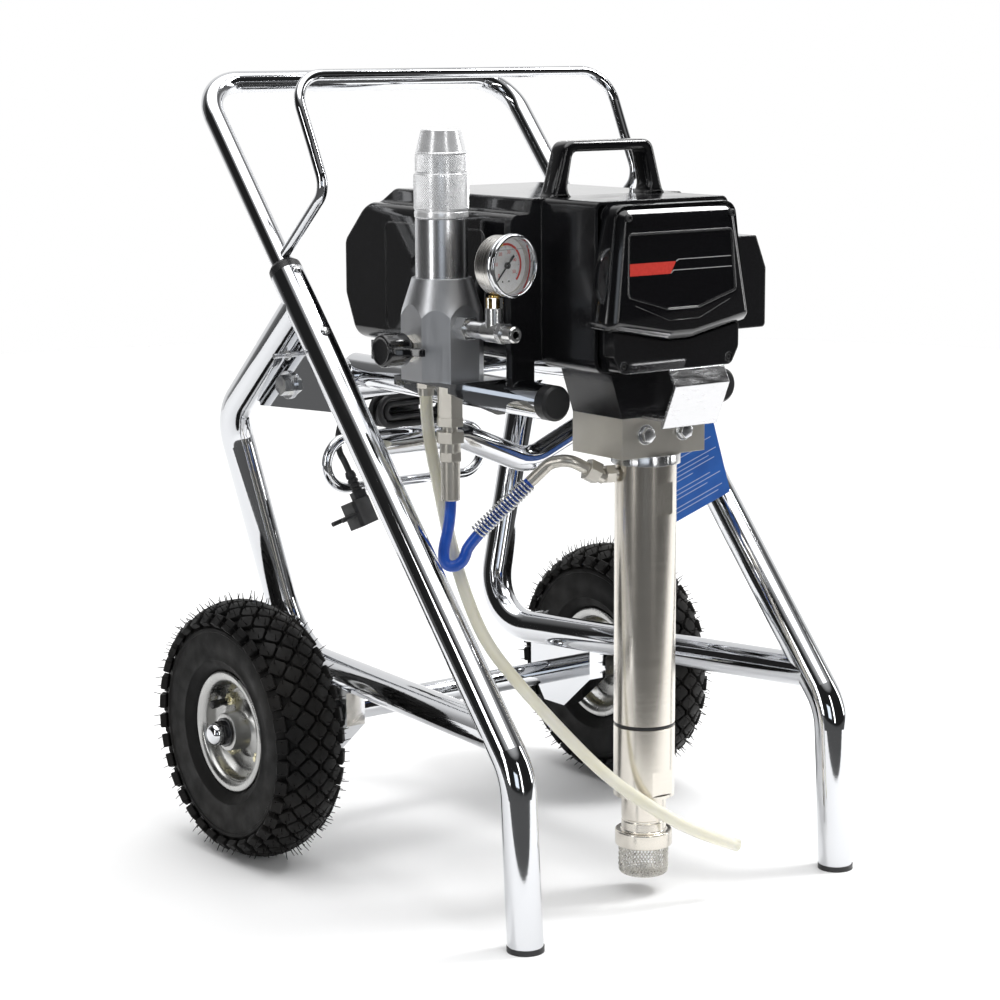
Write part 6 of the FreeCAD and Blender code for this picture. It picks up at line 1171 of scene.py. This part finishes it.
def gauge_fittings():
    """The brass nipple under the gauge."""
    nipple = upright(-150.0, 100.0, 570.0)
    collar = turned(softened([(0, 9.0), (5.4, 9.0), (5.4, 11.6), (0, 11.6)], 0.3), 40)
    built("gauge_brass_nipple", [(nut(14.0, 9.6, 0.0, 11.0), nipple), (collar, nipple)], "zinc", "brass")


# Carry handle and prime knob

HANDLE_HALF = ((70, 664.6), (66.4, 668), (64.2, 674), (52, 716))
FINGERS_HALF = ((-44, 664.6), (-47.6, 668), (-49.4, 674), (-43, 706))
HANDLE_BACK = 141.5
HANDLE_WIDE = 23.0
KNOB = (-190.5, 184, 528)
KNOB_LINE = ((0, 0), (12.6, 0), (15.5, 3), (15.5, 25.6), (14.4, 27.4), (12.6, 27.8), (11.8, 27), (0, 27))
KNOB_STEM = ((0, -12), (3, -12), (3, 1), (0, 1))
KNOB_WING = ((0.5, 0), (0.5, 33), (2.5, 35.4), (6, 35), (9, 31), (12.5, 24), (18, 18.6),
             (25, 15), (25, 0))
# Black bands on the pump: the first lies in the groove; the second is painted shade, put in the joint where
# the coupling meets the neck ring.
PUMP_GROOVE_AND_SHADE_BANDS = (((27, 165.2), (28.7, 165.8), (28.7, 168.2), (27, 168.8)),
              ((20, 95.6), (24.6, 95.6), (24.6, 97.4), (20, 97.4)))


def carry_handle():
    """A slim arch with flared feet and rounded edges."""
    outer = softened(mirrored(HANDLE_HALF), 10.0, 6)
    inner = softened(mirrored(FINGERS_HALF), 6.0, 5)
    mesh = plate(outer + inner, 0.0, HANDLE_WIDE)
    rims = [e for e in mesh.edges if abs(e.verts[0].co.z - e.verts[1].co.z) < 0.001]
    bmesh.ops.bevel(mesh, geom=rims, offset=4.2 * MM, segments=4, affect="EDGES", profile=0.5)
    arch = built("carry_handle_arch", [(mesh, forwards(0, HANDLE_BACK, 0))], "gloss_black", sharp=50.0)
    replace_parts(arch, "carry_handle")


def prime_knob():
    """A round knob with a swept lever wing."""
    side = frame_at(KNOB, (-1, 0, 0))
    wing = plate(KNOB_WING, -3.6, 3.6, 1.6)
    parts = [(turned(softened(KNOB_LINE, 1.6), 64), side), (turned(KNOB_STEM, 32), side),
             (wing, frame_at(KNOB, (0, 0, 1), (0, -1, 0)))]
    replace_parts(built("prime_knob_winged", parts, "gloss_black", body="prime_valve"), "prime_knob")


def pump_groove_and_shade_bands():
    """A black band in the groove of the pump's lower end, and a black band of painted shade in the joint
    under the coupling.
    """
    place = upright(0, PUMP_Y, 0)
    built("pump_joint_seals", [(turned(band, 96, True), place) for band in PUMP_GROOVE_AND_SHADE_BANDS], "matt_black")


# Fasteners of the head

SCREW_LINE = ((0, -1), (3.6, -1), (3.6, 1.4), (2.8, 2.6), (1.5, 2.6), (1.4, 0.8), (0, 0.6))
SCREW_PLACES = ((62, 18, 651), (63.4, 24, 517))
# The jam nut's outline from one slot to the next, in radii and angles
JAM_NUT_SIXTH = ((32.7, -25), (32.7, -12), (32.7, 0), (32.7, 12), (32.7, 22), (29.6, 22.6),
                 (29.6, 34.4))
JAM_NUT_LOW = 418.5
BLOCK_BOLT = (23, 39, 449.5)


def jam_nut():
    """A round nut with six slots, under the pump block."""
    corners = []
    for k in range(6):
        for reach, angle in JAM_NUT_SIXTH:
            a = math.radians(60.0 * k + 1.5 + angle)
            corners.append((reach * math.cos(a), reach * math.sin(a)))
    return plate(corners, 0.0, 9.5, 0.7)


def head_fasteners():
    """Pan heads with a deep round socket, and hexagon bolts with washers."""
    head = softened(SCREW_LINE, 0.4)
    washer = softened([(4.2, 0), (9.5, 0), (9.5, 1.6), (4.2, 1.6)], 0.3)
    screws, bolts = [], []
    for side in (1, -1):
        screws += [(turned(head, 32), forwards(side * x, y, z)) for x, y, z in SCREW_PLACES]
        place = forwards(side * BLOCK_BOLT[0], *BLOCK_BOLT[1:])
        bolts.append((turned(washer, 48, True), place))
        bolts.append((nut(13.0, 5.5, 0.0, 14.0 * side), place @ shift(1.6)))
    bolts.append((jam_nut(), upright(0, PUMP_Y, JAM_NUT_LOW)))
    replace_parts(built("cover_screws_black", screws, "matt_black"), "head_fasteners")
    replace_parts(built("block_bolts_and_jam_nut", bolts, "zinc"), "head_fasteners")


# Hang tag

TAG_CORNERS = ((46.5, 427), (122.5, 452), (150, 367.6), (74, 343))
TAG_FRONT, TAG_BACK = (corner[1] / MM + MIDDLE_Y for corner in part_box("hang_tag"))
# The rules' lengths as shares of the card's width. A gap in the print has no length
RULES = (0.62, 0.80, 0.55, 0, 0.84, 0.70, 0.78, 0.40, 0, 0.66, 0.82, 0.58, 0, 0.80, 0.72)
RULE_STEP = 4.2
RULE_HIGH = 0.7
RULES_TOP = 0.24         # where the rules start, as a share of the card's height
RULES_SIDE = 0.1


def tag_rules():
    """Fine pale rules across the card, in place of print."""
    corner, across, low_corner = (Vector(TAG_CORNERS[k]) for k in (0, 1, 3))
    along = across - corner
    down = (low_corner - corner).normalized()
    first = corner + (low_corner - corner) * RULES_TOP + along * RULES_SIDE
    bars = []
    for side, face in ((-1, TAG_FRONT), (1, TAG_BACK)):
        for k, share in enumerate(RULES):
            if share:
                start = first + down * RULE_STEP * k
                end = start + along * share
                line = (start, end, end + down * RULE_HIGH, start + down * RULE_HIGH)
                faces = [[mm(p.x, face + side * more, p.y) for p in line] for more in (0.08, -0.05)]
                bars.append(slab(*faces))
    built("hang_tag_rules", [(bar, STILL) for bar in bars], "tag_blue", "pale_ink")


def hang_tag():
    """The card behind the pump."""
    mesh = plate(rounded(TAG_CORNERS[::-1], [3.0] * 4, 4), 0.0, TAG_BACK - TAG_FRONT)
    card = built("hang_tag_card", [(mesh, forwards(0, TAG_BACK, 0))], "tag_blue")
    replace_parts(card, "hang_tag")


photo_camera()
floor()
light()
for side_name, side_way in (("right", 1), ("left", -1)):
    tyre(side_name, side_way)
    rim(side_name, side_way)
axle_ends()
suction_strainer()
filter_cap()
front_cover()
badge_marks()
pressure_gauge()
gauge_fittings()
carry_handle()
prime_knob()
pump_groove_and_shade_bands()
head_fasteners()
hang_tag()
tag_rules()
power_cord()
drain_tube()
blue_hose()
